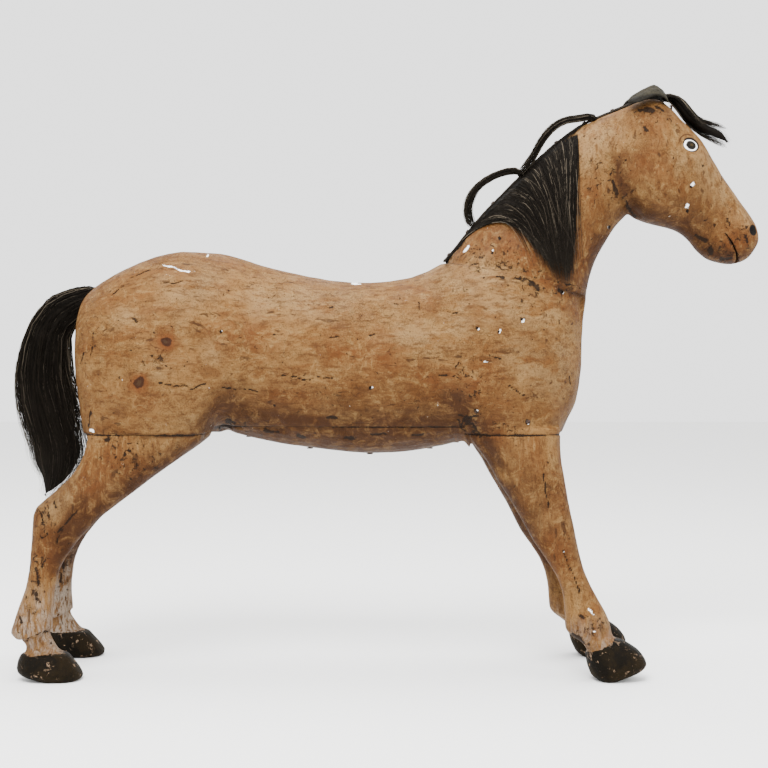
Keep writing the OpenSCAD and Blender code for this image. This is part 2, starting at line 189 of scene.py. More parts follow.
def waves(co, size, seed, count=9):
    """Smooth unevenness from about -1 to 1 with bumps about size metres across."""
    r = np.random.default_rng(seed)
    total = np.zeros(len(co))
    for _ in range(count):
        way = r.normal(size=3)
        way *= TURN / (size * r.uniform(1.4, 3.2)) / np.linalg.norm(way)
        total += np.sin(co @ way + r.uniform(0, 7))
    return total / math.sqrt(count)


# ---- Carving ----

def seat_height(co):
    """Distance above the plane of the neck's seat."""
    return (co[:, 0] - SEAT.x) * math.sin(SEAT_TILT) + (co[:, 2] - SEAT.z) * math.cos(SEAT_TILT)


def cad_wood():
    """The wooden CAD nodes, each reaching a little into its neighbours, in one mesh."""
    reach = 8 * MM
    parts = []
    for name in WOOD + ["leg_pegs_hind", "leg_pegs_front", "neck_pegs", "tail_plug"]:
        mesh = nodes[name].data
        co = coords(mesh)
        if name.startswith("leg_") and "pegs" not in name:
            co[co[:, 2] > JOINT_Z - 0.1 * MM, 2] += reach
        elif name == "belly_board":
            co[co[:, 2] > BELLY_Z - 0.2 * MM, 2] += reach
        elif name == "neck_and_head":
            low = seat_height(co) < 0.2 * MM
            co[low] -= np.array([math.sin(SEAT_TILT), 0, math.cos(SEAT_TILT)]) * reach
        parts.append((co, [tuple(p.vertices) for p in mesh.polygons]))
    return joined("wood", parts)


def largest_island(obj):
    """Deletes all but the largest connected part of the mesh."""
    mesh = obj.data
    e = edges(mesh)
    label = np.arange(len(mesh.vertices))
    while True:
        low = np.minimum(label[e[:, 0]], label[e[:, 1]])
        new = label.copy()
        np.minimum.at(new, e[:, 0], low)
        np.minimum.at(new, e[:, 1], low)
        new = new[new]
        if (new == label).all():
            break
        label = new
    keep = label == np.bincount(label).argmax()
    if not keep.all():
        bm = bmesh.new()
        bm.from_mesh(mesh)
        bm.verts.ensure_lookup_table()
        bmesh.ops.delete(bm, geom=[bm.verts[int(i)] for i in np.nonzero(~keep)[0]], context="VERTS")
        bm.to_mesh(mesh)
        bm.free()


def fall(d):
    """1 at 0, falling smoothly to both sides."""
    return np.exp(-d * d)


def ramp(value, low, high):
    """0 at low and 1 at high, with a straight line between them. low may be the larger."""
    return np.clip((value - low) / (high - low), 0, 1)


def swell(co, n, at, size, depth):
    """Pushes the surface out by depth, or in where it is negative, round a point. Millimetres."""
    for side in (1, -1):
        d = (co / MM - np.array(at) * [1, side, 1]) / np.array(size)
        co += n * (fall(np.linalg.norm(d, axis=1)) * depth * MM)[:, None]


def off_line(co, line):
    """Distance in millimetres, seen from the side, of each vertex from a line: x, z, x, z and so on."""
    p = co[:, [0, 2]] / MM
    points = np.array(line, float).reshape(-1, 2)
    if len(points) == 1:
        return np.linalg.norm(p - points[0], axis=1)
    best = np.full(len(p), 1e9)
    for a, b in zip(points, points[1:]):
        t = np.clip(((p - a) @ (b - a)) / ((b - a) @ (b - a)), 0, 1)
        best = np.minimum(best, np.linalg.norm(p - a - t[:, None] * (b - a), axis=1))
    return best


def crease(co, n, line, width, depth):
    """A groove on both flanks along a line seen from the side. It fades out towards the middle."""
    w = fall(off_line(co, line) / width)
    w *= ramp(np.abs(co[:, 1]) / MM, 4, 14)
    co -= n * (w * depth * MM)[:, None]


def joint_distance(co):
    """Distances in millimetres from the legs' joints, the belly board's joint and the neck's."""
    x, z = co[:, 0] / MM, co[:, 2] / MM
    jz, bz, b0, b1 = JOINT_Z / MM, BELLY_Z / MM, BELLY_FROM / MM, BELLY_TO / MM
    far = 99
    legs = np.where((x < b0) | (x > b1), np.abs(z - jz), far)
    belly = np.where((x > b0) & (x < b1), np.abs(z - bz), far)
    drop = BELLY_DROP / MM
    front = b1 + np.clip(jz - z, 0, drop) * BELLY_LEAN
    ends = np.where((z < bz) & (z > jz - drop), np.minimum(np.abs(x - b0), np.abs(x - front)), far)
    at_neck = (z > 440) & (x > 40)
    neck = np.where(at_neck, np.abs(seat_height(co)) / MM, far)
    return legs, np.minimum(belly, ends), neck


# The lower edge of the fetlocks and the top of the hooves, rear to front: x, z, x, z and so on.
HIND_FETLOCK = (-436, 47, -424, 48, -412, 50, -400, 55, -386, 61)
HIND_CORONET = (-428, 32, -412, 31, -396, 31.5, -384, 32, -370, 31, -360, 26)
FRONT_CORONET = (228, 31, 236, 35, 248, 39, 256, 44, 264, 49, 280, 47)


def feet(co):
    """Which vertices are as far back as the hind feet, and which as far forward as the front feet."""
    return co[:, 0] < -330 * MM, co[:, 0] > 190 * MM


def above(co, line):
    """Height in millimetres of each vertex above a line seen from the side."""
    return co[:, 2] / MM - np.interp(co[:, 0] / MM, line[::2], line[1::2])


def carve(obj):
    mesh = obj.data
    e = edges(mesh)
    co = smoothed(coords(mesh), e, 10)
    # The underside of the belly board's front end, between the legs, is trimmed to a slope.
    ahead = co[:, 0] - BELLY_TO
    between = (np.abs(ahead - 3 * MM) < 9 * MM) & (np.abs(co[:, 1]) < 26 * MM) & (co[:, 2] < JOINT_Z)
    trimmed = JOINT_Z - 10 * MM + (ahead + 6 * MM) * 0.25
    co[:, 2] = np.where(between, np.maximum(co[:, 2], trimmed), co[:, 2])
    set_coords(mesh, co)
    n = normals(mesh)
    # The blade's broad facets.
    co += n * ((waves(co, 34 * MM, 3) * 0.35 + waves(co, 13 * MM, 4) * 0.14) * MM)[:, None]
    # Shoulder, elbow and breast.
    crease(co, n, (150, 462, 196, 436, 214, 396, 208, 350), 11, 1.5)
    swell(co, n, (196, 44, 352), (24, 24, 34), 2.4)
    crease(co, n, (84, 322, 98, 294, 116, 266, 132, 240), 7, 2.6)
    swell(co, n, (124, 62, 326), (34, 40, 38), 2.2)
    # The flank in front of the haunch.
    crease(co, n, (-168, 330, -186, 306, -206, 284), 13, 3.0)
    crease(co, n, (-150, 440, -166, 390, -176, 336), 22, 1.8)
    swell(co, n, (-250, 70, 330), (46, 40, 60), 1.6)
    # Thigh and hock: a hollow in front of the tendon, the point of the hock, and its lower edge.
    crease(co, n, (-330, 250, -352, 224, -372, 196), 9, 1.4)
    swell(co, n, (-403, 60, 190), (12, 16, 15), 1.6)
    crease(co, n, (-352, 206, -368, 182, -378, 156), 6, 1.3)
    crease(co, n, (-398, 150, -396, 120, -398, 92), 4, 0.9)
    # Knees, and the tendons behind them.
    swell(co, n, (206, 60, 142), (15, 16, 14), 1.5)
    crease(co, n, (190, 170, 206, 132, 214, 96), 6, 1.0)
    # Fetlocks.
    swell(co, n, (-405, 70, 66), (18, 22, 10), 1.4)
    swell(co, n, (234, 70, 72), (20, 22, 12), 1.4)
    set_coords(mesh, co)
    n = normals(mesh)
    # The hind pasterns are set back under the fetlock, and every hoof stands out below its top edge.
    z = co[:, 2] / MM
    hind, fore = feet(co)
    under = ramp(above(co, HIND_FETLOCK), 0, -2) * ramp(above(co, HIND_CORONET), -2, 7)
    co -= n * (under * hind * (z < 75) * 3.4 * MM)[:, None]
    for line, here in ((HIND_CORONET, hind), (FRONT_CORONET, fore)):
        lift = above(co, line)
        inset = fall((lift - 1.5) / 2.5) * 0.9 - ramp(lift, 0, -2) * ramp(lift, -14, -2) * 0.6
        co -= n * (inset * here * (z < 80) * MM)[:, None]
    # Head: throat, cheek, the bone below the eye, lips and chin.
    crease(co, n, (264, 606, 272, 580, 284, 556, 296, 540), 7, 3.0)
    swell(co, n, (314, 36, 572), (26, 20, 28), 2.0)
    crease(co, n, (330, 556, 352, 545, 374, 526), 8, 1.8)
    crease(co, n, (366, 598, 388, 574, 410, 548), 6, 0.9)
    crease(co, n, (340, 640, 352, 636, 366, 628), 5, 0.8)
    swell(co, n, (426, 22, 526), (10, 8, 11), 1.0)
    swell(co, n, (404, 20, 502), (11, 7, 7), 0.9)
    # Hollows round the eyes.
    swell(co, n, (EYE[0], 36, EYE[1]), (13, 20, 10), -1.3)
    set_coords(mesh, co)
    n = normals(mesh)
    rough = np.clip(0.65 + 0.5 * waves(co, 26 * MM, 8), 0.15, 1.2)
    for d, depth in zip(joint_distance(co), (1.1, 0.6, 0.45)):
        co -= n * (np.clip(1 - d / 3, 0, 1) ** 1.5 * rough * depth * MM)[:, None]
    set_coords(mesh, co)


def cut_out(source, name, shapes, keep=True):
    """A closed piece of source inside the given closed shapes, or outside them."""
    piece = make(name, source.data.copy())
    tool = joined("tool", shapes)
    modified(piece, "BOOLEAN", object=tool, solver="MANIFOLD",
             operation="INTERSECT" if keep else "DIFFERENCE")
    drop(tool)
    largest_island(piece)
    return piece


def mouth_cut():
    """Outline of the slit between the lips, wider towards the chin."""
    wide = [0.4, 0.9, 1.2, 1.6, 3.4]
    lips = list(zip(MOUTH[::2], MOUTH[1::2], wide))
    rear = [((x - w) * MM, z * MM) for x, z, w in lips]
    front = [((x + w) * MM, (z + w * 0.4) * MM) for x, z, w in lips]
    return rear + front[::-1]


def seat_block():
    """Everything above the neck's seat."""
    co, faces = block((-60 * MM, -HALF, 0), (0.6, HALF, 0.5))
    turn = Matrix.Translation(SEAT) @ Matrix.Rotation(SEAT_TILT, 4, "Y")
    return np.array([turn @ Vector(c) for c in co]), faces


def wood_pieces():
    whole = cad_wood()
    remesh(whole, VOXEL)
    largest_island(whole)
    carve(whole)
    gap = 0.15 * MM
    below = 0.2                                     # lower than any joint
    low = JOINT_Z - BELLY_DROP
    lean = BELLY_TO + BELLY_DROP * BELLY_LEAN

    def belly(more):
        rear, front, top = BELLY_FROM - more, BELLY_TO + more, BELLY_Z + more
        return [(rear, below), (front, below), (lean + more, low), (front, JOINT_Z), (front, top),
                (rear, top)]

    def front(more):
        rear, top = BELLY_TO - more, JOINT_Z + more
        return [(0, -0.1), (0.6, -0.1), (0.6, top), (rear, top), (lean - more, low), (rear, below),
                (0, below)]

    def hind(more):
        ahead, top = BELLY_FROM + more, JOINT_Z + more
        return [(-0.6, -0.1), (0, -0.1), (0, below), (ahead, below), (ahead, top), (-0.6, top)]

    pieces = {"belly_board": cut_out(whole, "belly_board_carved", [prism(belly(-gap))])}
    for end, outline in (("hind", hind(-gap)), ("front", front(-gap))):
        for side, y0, y1 in (("right", -HALF, 0), ("left", 0, HALF)):
            name = f"leg_{end}_{side}"
            pieces[name] = cut_out(whole, name + "_carved", [prism(outline, y0, y1)])
    head = cut_out(whole, "head", [seat_block()])
    slits = [prism(mouth_cut(), -HALF, -4 * MM), prism(mouth_cut(), 4 * MM, HALF)]
    pieces["neck_and_head"] = cut_out(head, "neck_and_head_carved", slits, keep=False)
    drop(head)
    for shape in (prism(hind(gap)), prism(belly(gap)), prism(front(gap)), seat_block()):
        rest = cut_out(whole, "trunk_carved", [shape], keep=False)
        drop(whole)
        whole = rest
    whole.name = whole.data.name = "trunk_carved"
    pieces["trunk"] = whole
    return pieces


# ---- Marks ----
# Places on the horse seen from its right side, in millimetres: x, z, x, z and so on.

EYE = (357.2, 622)
NOSTRIL = (434, 523.5)
MOUTH = (400.5, 519, 408, 508, 413.5, 497, 416.5, 489, 418, 478)
HOLE = 3.4
NAIL_HOLES = [(-18, 338), (157, 417), (105, 407), (130, 403), (207, 449), (124, 495), (355, 545),
              (103, 312), (163, 299), (133, 512), (358, 573), (-190, 403), (265, 527)]


def dots(width, *at):
    """Round marks of one width."""
    return [(width, x, z) for x, z in zip(at[::2], at[1::2])]


# Each mark is a width and the points of a line, or one point. NEAR marks are on the right side
# only, and BOTH marks are on the left side too.
BOTH_CRACKS = [
    (0.8, -403, 197, -399, 190, -396, 182), (0.9, -394, 203, -391, 195, -389, 188),
    (0.7, -385, 206, -383, 199), (0.8, -403, 171, -398, 167, -392, 171),
    (0.7, -359, 197, -368, 186, -379, 170), (0.6, -372, 176, -380, 160),
    (1.0, 215, 222, 216, 208, 220, 186, 226, 166), (0.6, 206, 150, 212, 130, 222, 104),
    (0.6, 230, 150, 236, 120, 244, 96)
]
NEAR_CRACKS = [
    (0.6, 180, 240, 186, 200), (0.7, -339, 400, -341, 386, -344, 374), (0.6, -352, 380, -356, 366),
    (0.6, -344, 312, -347, 292), (0.7, 36, 440, 38, 431, 36, 423),
    (0.7, -262, 345, -236, 341, -222, 339, -206, 344), (0.6, 214, 352, 216, 340),
    (0.5, -430, 46, -414, 48, -401, 54, -392, 58), (0.6, 400, 594, 396, 582), (0.6, 402, 535, 407, 531),
    (0.6, 60, 352, 78, 350), (0.5, -190, 338, -150, 334), (0.5, -120, 352, -84, 348, -60, 350),
    (0.5, 96, 372, 118, 368), (0.5, 60, 428, 82, 424), (0.5, 140, 340, 158, 330),
    (0.5, -300, 466, -276, 474), (0.5, -262, 458, -236, 462), (0.5, -320, 446, -306, 456)
]
BOTH_STAINS = [
    (1.6, 128, 466, 136, 465), (4, 300, 665, 312, 664), (2.6, 318, 668, 326, 664),
    (1.8, 303, 644, 306, 639), (1.8, 284, 556, 291, 546, 297, 539), (3, 368, 518, 378, 512),
    (2.6, 382, 501, 386, 495), (2.2, 396, 490, 410, 488), (2, 402, 537, 406, 531),
    (2.6, 424, 516, 427, 509), (3, 266, 578, 270, 566), (2.4, -404, 130, -400, 112),
    (2, -402, 104, -404, 95), (2, -393, 140, -396, 132), (2, -412, 138, -414, 124), (1.8, 280, 604),
    (1.8, 273, 592), (2, 386, 528), (2, 424, 526), (2.2, 262, 590)
]
BOTH_STAINS += dots(1.6, 142, 498, 298, 636, 414, 514, 376, 534, -373, 152)
BOTH_STAINS += dots(1.4, 165, 446, 343, 571, 372, 600, 372, 546)
BOTH_STAINS += dots(1.3, 328, 611, 328, 590, 356, 584)
NEAR_STAINS = [
    (4, -187, 298, -180, 297), (3, -143, 288, -128, 285), (2.4, -104, 281, -96, 279),
    (2.4, -47, 278, -36, 277), (2, -70, 304, -58, 303), (3, -200, 290, -186, 291), (2, -16, 284, 0, 283),
    (2, 30, 282, 44, 283), (2, 84, 305, 104, 304), (2.2, 97, 296, 103, 287, 108, 280),
    (1.6, 82, 300, 90, 290), (2, 86, 294, 92, 306), (2.2, 83, 368, 80, 362), (1.6, 120, 375, 131, 373),
    (3.6, 168, 459, 176, 453), (2.8, 200, 453, 206, 449), (1.6, 138, 480, 146, 477),
    (1.6, 100, 484, 108, 482), (1.4, 148, 466, 154, 464), (1.8, -422, 76, -418, 68), (4, 216, 54, 224, 45),
    (1.8, 221, 76, 226, 74), (1.8, -293, 418, -287, 414), (1.2, -20, 398, -14, 399),
    (1.6, -66, 398, -56, 397), (1.2, 8, 436, 16, 434), (1.2, -70, 432, -62, 431), (3, -322, 278),
    (2.6, -297, 266), (2.6, -289, 247), (5, 93, 299), (2.4, 210, 457), (1.2, -240, 361), (1.3, -233, 438),
    (1.3, -196, 466), (3.2, 250, 38)
]
NEAR_STAINS += dots(2, -84, 283, -313, 283, -312, 257, -302, 262, -280, 262, -270, 252, -262, 262, -330, 270,
    226, 454, 178, 473, -268, 376)
NEAR_STAINS += dots(1.8, 79, 336, 78, 352, 205, 357, -306, 350, -388, 44)
NEAR_STAINS += dots(1.6, 113, 347, 224, 627, 120, 476, 155, 482, 110, 500, -262, 372, -131, 400, 236, 58)
NEAR_STAINS += dots(2.2, 174, 466, 122, 494, 132, 513)
NEAR_STAINS += dots(1.4, 233, 634, -367, 160, -232, 362, -246, 408, -95, 356)
BOTH_CHIPS = [
    (2, 92, 500, 97, 504), (2.8, 358, 576)
]
NEAR_CHIPS = [
    (1.1, -261, 481, -248, 478, -232, 473), (1.6, -40, 460, -32, 460), (2.4, -344, 289, -339, 288),
    (1.2, 112, 368, 118, 368), (1, 232, 84, 238, 78), (1, 222, 190, 224, 176), (1, 238, 130, 242, 116),
    (2.6, -18, 338), (2.6, 103, 312), (2.8, 157, 417), (2, 105, 407), (2.4, 130, 403), (2.4, 163, 299),
    (2.2, 207, 449), (2.2, -212, 493), (1.8, 124, 496), (1.8, 263, 527), (3, 354, 550), (1.4, -190, 402),
    (1.3, 206, 148), (1.2, -208, 366), (1.6, -377, 128), (1, 238, 60)
]
# Rubbed, greyish places.
BOTH_PALE = [
    (20, 232, 606, 262, 640), (20, 20, 400, 50, 390), (16, 410, 560, 425, 540), (15, -420, 84, -408, 72),
    (14, -390, 190, -370, 215), (18, 216, 400), (18, 345, 600), (13, -398, 45)
]
BOTH_PALE += dots(16, -200, 380, -400, 100, 250, 66)
NEAR_PALE = [
    (26, -212, 456, -240, 448), (26, 150, 380, 180, 350), (26, 110, 470, 140, 450), (24, 60, 470, 90, 450),
    (22, -150, 440, -60, 436), (26, 120, 430, 190, 420), (26, 372, 604, 404, 566), (22, 90, 430, 70, 400),
    (22, 204, 380, 200, 340), (16, 228, 634, 250, 652), (20, -300, 420), (18, -262, 362), (14, -226, 300)
]
# Thin paint, with the brown wood showing.
BOTH_WARM = [
    (22, 180, 470, 214, 440), (22, 280, 590, 300, 600), (24, -320, 250, -290, 240),
    (26, -376, 160, -384, 140), (24, 190, 160, 205, 130), (30, 130, 510, 170, 490),
    (18, -130, 330, -100, 326), (20, 402, 505, 424, 510), (30, 226, 470, 236, 500),
    (24, -360, 200, -340, 225), (20, 200, 250, 205, 200), (20, 240, 66, 256, 58), (16, 340, 572),
    (16, -398, 190), (24, 120, 290), (14, 240, 560)
]
NEAR_WARM = [
    (16, -283, 342, -276, 326), (30, -180, 400, -150, 396), (30, -60, 380, 0, 372), (20, 40, 350, 70, 340),
    (24, 96, 330, 110, 360), (20, -253, 392)
]
# Places thick with small dark chips.
BOTH_FLECKED = [
    (20, 264, 590, 272, 566), (24, -318, 268, -285, 250), (18, 384, 500, 410, 490),
    (20, -400, 196, -396, 178), (18, -402, 140, -402, 90), (16, 420, 514), (14, -424, 66)
]
NEAR_FLECKED = [
    (26, 100, 490, 130, 480, 165, 455), (16, 300, 664, 322, 660), (20, 110, 300, 150, 290),
    (16, 100, 340, 90, 360), (16, -190, 296, -140, 290), (14, 230, 60, 244, 70), (20, 240, 560, 250, 600),
    (18, 205, 450), (16, 215, 180)
]
NEAR_FLECKED += dots(14, -260, 370, 250, 500, -340, 390)


def marked(co, marks, spread=1.0):
    """1 in the middle of a mark, falling to 0 at spread times its width."""
    best = np.zeros(len(co))
    for width, *line in marks:
        best = np.maximum(best, 1 - off_line(co, line) / (width * spread))
    return best.clip(0)


def scattered(seed, count, size, long=6):
    """Marks at random, for the unseen left side."""
    r = np.random.default_rng(seed)
    marks = []
    for _ in range(count):
        x, z = r.uniform(-350, 220), r.uniform(290, 490)
        marks.append((r.uniform(*size), x, z, x + r.uniform(-long, long), z + r.uniform(-3, 3)))
    return marks


# For each finish, the marks of the right side and those of the left.
MARKS = {
    "crack": (NEAR_CRACKS + BOTH_CRACKS, scattered(1, 14, (0.5, 0.9), 16) + BOTH_CRACKS),
    "stain": (NEAR_STAINS + BOTH_STAINS, scattered(2, 40, (1.2, 3.4)) + BOTH_STAINS),
    "chip": (NEAR_CHIPS + BOTH_CHIPS, scattered(3, 12, (1.4, 2.6), 3) + BOTH_CHIPS),
    "pale": (NEAR_PALE + BOTH_PALE, scattered(4, 16, (15, 28)) + BOTH_PALE),
    "warm": (NEAR_WARM + BOTH_WARM, scattered(5, 16, (16, 30)) + BOTH_WARM),
    "flecked": (NEAR_FLECKED + BOTH_FLECKED, scattered(6, 6, (14, 24)) + BOTH_FLECKED),
}
# The knots of the right side and those of the left.
KNOTS = ((-253, 391), (-284, 344)), ((-226, 372), (40, 360))
# Creases and hollows that get painted shade: width, depth and line.
HOLLOWS = (
    (9, 0.7, 272, 600, 280, 566, 292, 546), (9, 0.7, 330, 532, 362, 520, 384, 496, 410, 486),
    (14, 0.7, 76, 320, 98, 292, 118, 262), (16, 0.5, -176, 312, -206, 290),
    (18, 0.6, 118, 540, 150, 536, 190, 500, 206, 462), (10, 0.5, 236, 440, 242, 480, 254, 510),
    (12, 0.5, -352, 200, -376, 160, -382, 130), (8, 0.5, 330, 664, 312, 664, 292, 664),
)


def mark_wood(pieces):
    """Cuts the small marks into the wood and stores on its vertices where each finish goes, and where
    painted shade goes.
    """
    for name, piece in pieces.items():
        mesh = piece.data
        co, n = coords(mesh), normals(mesh)
        near = co[:, 1] < 0
        hind, fore = feet(co)
        x, y, z = (co / MM).T
        # The marks' outlines wander.
        bent = co.copy()
        for axis, seed in ((0, 70), (2, 72)):
            bent[:, axis] += (waves(co, 13 * MM, seed) * 0.9 + waves(co, 5 * MM, seed + 1) * 0.8) * MM

        def field(kind, spread):
            right, left = MARKS[kind]
            return np.where(near, marked(bent, right, spread), marked(bent, left, spread))

        side = np.abs(n[:, 1]) > 0.15
        cracks = field("crack", 2.0) * side
        stains = field("stain", 1.3) * side
        chips = field("chip", 1.5)
        holes = np.where(near, marked(co, [(HOLE, a - 1, b) for a, b in NAIL_HOLES]), 0)
        legs, belly, neck = joint_distance(co)
        ragged = 0.5 + 0.5 * waves(co, 22 * MM, 8)
        seam = np.maximum(np.clip(1.1 - legs / 1.8, 0, 1) * (0.45 + 0.7 * ragged),
                          np.clip(1.1 - belly / 1.7, 0, 1) * (0.1 + 0.8 * ragged))
        seam = np.maximum(seam, np.clip(1.0 - neck / 2.0, 0, 1) * (ragged - 0.3))
        hoof = np.full(len(co), -1.0)
        for line, here in ((HIND_CORONET, hind), (FRONT_CORONET, fore)):
            hoof = np.where(here & (z < 80), np.clip(-above(co, line) / 12, -1, 1), hoof)
        halo = 20
        knots = np.full(len(co), 1.0)
        for here, places in zip((near, ~near), KNOTS):
            for at in places:
                knots = np.where(here, np.minimum(knots, off_line(bent, at) / halo), knots)
        # Painted shade: undersides, the insides of the legs and the lower flanks are darker.
        shade = np.clip(0.2 - n[:, 2], 0, 1) * ramp(z, 120, 180) * 1.1
        inward = np.clip(-n[:, 1] * np.sign(y) * 1.4 + 0.1, 0, 1)
        shade = np.maximum(shade, ramp(z, 60, 120) * (z < JOINT_Z / MM) * inward * 0.8)
        shade += ramp(z, 345, 285) * ramp(z, 250, 270) * ramp(np.abs(x + 40), 190, 140) * 0.3
        shade += ramp(z, 306, 284) * ramp(z, 250, 265) * (np.abs(x + 50) < 150) * 0.5
        shade += ramp(z, 280, 220) * ramp(z, 90, 150) * 0.36
        # Painted shade in the hollows.
        for width, depth, *line in HOLLOWS:
            shade += fall(off_line(co, line) / width) * depth
        depth = cracks * 1.0 + chips * 0.3 + stains * 0.3 + holes * 1.2
        if name == "neck_and_head":
            ball = np.linalg.norm(np.stack([(x - EYE[0]) / 9.5, (z - EYE[1]) / 7.5]), axis=0)
            depth -= np.clip(1 - ball ** 2, 0, 1) * side * (np.abs(y) > 12) * 1.6
            hole = np.linalg.norm(np.stack([(x - NOSTRIL[0]) / 4.6, (z - NOSTRIL[1]) / 6.4]), axis=0)
            depth += np.clip(1.15 - hole ** 2, 0, 1) * (np.abs(y) > 4) * 3.6
            lips = np.clip(1 - off_line(co, MOUTH) / 3.2, 0, 1) * (np.abs(y) > 3)
            stains = np.maximum(stains, lips * 0.75)
        co -= n * (depth * MM)[:, None]
        co[:, 2] = np.maximum(co[:, 2], 0)
        set_coords(mesh, co)
        # The legs' lower ends are bare, the hind ones higher up and most of all on the left.
        bare = ramp(z, 118, 78) * hind * np.where(near, 0.7, 1) + ramp(z, 80, 50) * fore * 0.5
        bare += ramp(z, 160, 130) * (hind & (y > 0)) * 0.8
        for key, values in (("dark", np.maximum.reduce([cracks, stains, seam, holes])), ("chip", chips),
                            ("hole", holes), ("hoof", hoof), ("knot", knots.clip(0, 1)),
                            ("shade", shade.clip(0, 1)), ("bare", bare.clip(0, 1))):
            attribute(mesh, key, values)
        for key in ("pale", "warm", "flecked"):
            attribute(mesh, key, field(key, 1.3))
        smooth_shaded(mesh)
        mesh.set_sharp_from_angle(angle=math.radians(60))
        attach(piece, "horse")
        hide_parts(name)


# ---- Hair ----

def spline(points, n):
    """n points on a smooth curve through the given ones."""
    p = np.array(points, float)
    last = len(p) - 1
    s = np.linspace(0, last, n)
    i = np.minimum(s.astype(int), last - 1)
    t = (s - i)[:, None]
    a, b, c, d = p[np.maximum(i - 1, 0)], p[i], p[i + 1], p[np.minimum(i + 2, last)]
    return 0.5 * (2 * b + (c - a) * t + (2 * a - 5 * b + 4 * c - d) * t ** 2
                  + (3 * b - a - 3 * c + d) * t ** 3)


def in_box(node, shares):
    """Rows of shares of a CAD node's box along x and z, and half sizes in millimetres, in metres."""
    low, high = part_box(node)
    rows = np.array(shares, float)
    rows[:, 0] = low.x + rows[:, 0] * (high.x - low.x)
    rows[:, 1] = low.z + rows[:, 1] * (high.z - low.z)
    rows[:, 2:] *= MM
    return rows


def unit(v):
    return v / np.linalg.norm(v, axis=-1, keepdims=True).clip(1e-9)


def tubes(name, paths, thick, tint, core=None):
    """Tapering three-sided hairs along paths (hairs, points, 3), with a core if one is given."""
    count, steps = paths.shape[:2]
    way = unit(np.gradient(paths, axis=1))
    u = unit(np.cross(way, [0.05, 1, 0.02]))
    v = np.cross(way, u)
    width = thick[:, None] * (1 - 0.86 * np.linspace(0, 1, steps) ** 1.6)
    rings = np.stack([paths + width[..., None] * (u * math.cos(a) + v * math.sin(a))
                      for a in (0, TURN / 3, TURN * 2 / 3)], axis=2)
    first = (np.arange(count * steps) * 3).reshape(count, steps)
    root, tip = first[:, :-1], first[:, 1:]
    sides = [np.stack([root + j, root + k, tip + k, tip + j], -1) for j, k in ((0, 1), (1, 2), (2, 0))]
    quads = np.concatenate([side.reshape(-1, 4) for side in sides])
    caps = np.concatenate([first[:, 0, None] + [2, 1, 0], first[:, -1, None] + [0, 1, 2]])
    obj = from_arrays(name, rings.reshape(-1, 3), quads.tolist() + caps.tolist())
    attribute(obj.data, "tint", np.repeat(tint, steps * 3))
    attribute(obj.data, "along", np.tile(np.repeat(np.linspace(0, 1, steps), 3), count))
    if core is not None:
        bm = bmesh.new()
        bm.from_mesh(obj.data)
        bm.from_mesh(core.data)
        bm.to_mesh(obj.data)
        bm.free()
        drop(core)
    smooth_shaded(obj.data)
    return obj


def bundle(rows, count, steps, seed, fuzz, ends=(0.75, 1.0), clumps=24, flare=0.0, spread=0.5):
    """Paths of hairs that run through sections: x, z, half depth, half width. Also where each lies."""
    r = np.random.default_rng(seed)
    samples = 200
    fine = spline(np.insert(rows, 1, 0, axis=1), samples)
    way = unit(np.gradient(fine[:, [0, 2]], axis=0))
    across = np.stack([-way[:, 1], np.zeros(samples), way[:, 0]], 1)
    clump = r.integers(0, clumps, count)
    angle = r.uniform(0, TURN, clumps)[clump] + r.normal(0, spread, count)
    out = np.sqrt(r.uniform(0.25, 1.0, count))
    end = r.uniform(ends[0], ends[1], clumps)[clump] * r.uniform(0.94, 1.02, count)
    s = np.linspace(0, 1, steps)[None, :] * np.minimum(end, 1)[:, None]
    k = s * (samples - 1)
    i = np.minimum(k.astype(int), samples - 2)
    f = (k - i)[..., None]

    def take(a):
        return a[i] * (1 - f) + a[i + 1] * f

    phase, speed = r.uniform(0, 7, (2, count, 1)), r.uniform(2, 6, (2, count, 1))
    sway = np.sin(phase + speed * s) * (0.12 + 0.25 * s)
    drift = r.normal(0, 0.10, (clumps, 2))[clump]
    ca = out[:, None] * np.cos(angle)[:, None] + sway[0] * 0.5 + drift[:, :1] * s * (1 + flare)
    cb = out[:, None] * np.sin(angle)[:, None] + sway[1] * 0.5 + drift[:, 1:] * s * (1 + flare)
    length = np.maximum(1.0, np.sqrt(ca ** 2 + cb ** 2) / 1.05)
    deep, wide = (ca / length)[..., None] * take(fine[:, 3:4]), (cb / length)[..., None] * take(fine[:, 4:5])
    paths = take(fine[:, :3]) + take(across) * deep + np.array([0, 1, 0]) * wide
    wild = r.normal(0, 1, (count, 1, 3)) * (s[..., None] ** 2) * fuzz * MM
    turn = r.uniform(0, 7, (2, count, 1)) + s * r.uniform(8, 20, (2, count, 1))
    frizz = np.stack([np.sin(turn[0]), np.sin(turn[1]), np.cos(turn[0])], -1)
    wild = wild + frizz * (0.25 + s[..., None]) * fuzz * 0.3 * MM
    return paths + wild, np.cos(angle) * out, out


def shrunk(node, name, by):
    """A dark core: a copy of the CAD node drawn in by so many metres."""
    core = make(name, nodes[node].data.copy())
    remesh(core, 1.6 * MM)
    co, n = coords(core.data), normals(core.data)
    co = smoothed(co - n * by, edges(core.data), 4)
    n = normals(core.data)
    set_coords(core.data, co + n * (waves(co * [1, 1, 0.2], 5 * MM, 6) * 0.4 * MM)[:, None])
    attribute(core.data, "tint", np.full(len(co), 0.05))
    attribute(core.data, "along", np.full(len(co), 0.3))
    return core


def hair_tints(r, bright):
    """Mostly near black, with a few brown and tan hairs; the tan ones also serve as painted highlights.
    bright is each hair's own chance.
    """
    tint = r.uniform(0, 1, len(bright)) ** 3 * 0.35
    pick = r.uniform(0, 1, len(bright)) < bright
    return np.where(pick, r.uniform(0.45, 1, len(bright)), tint)


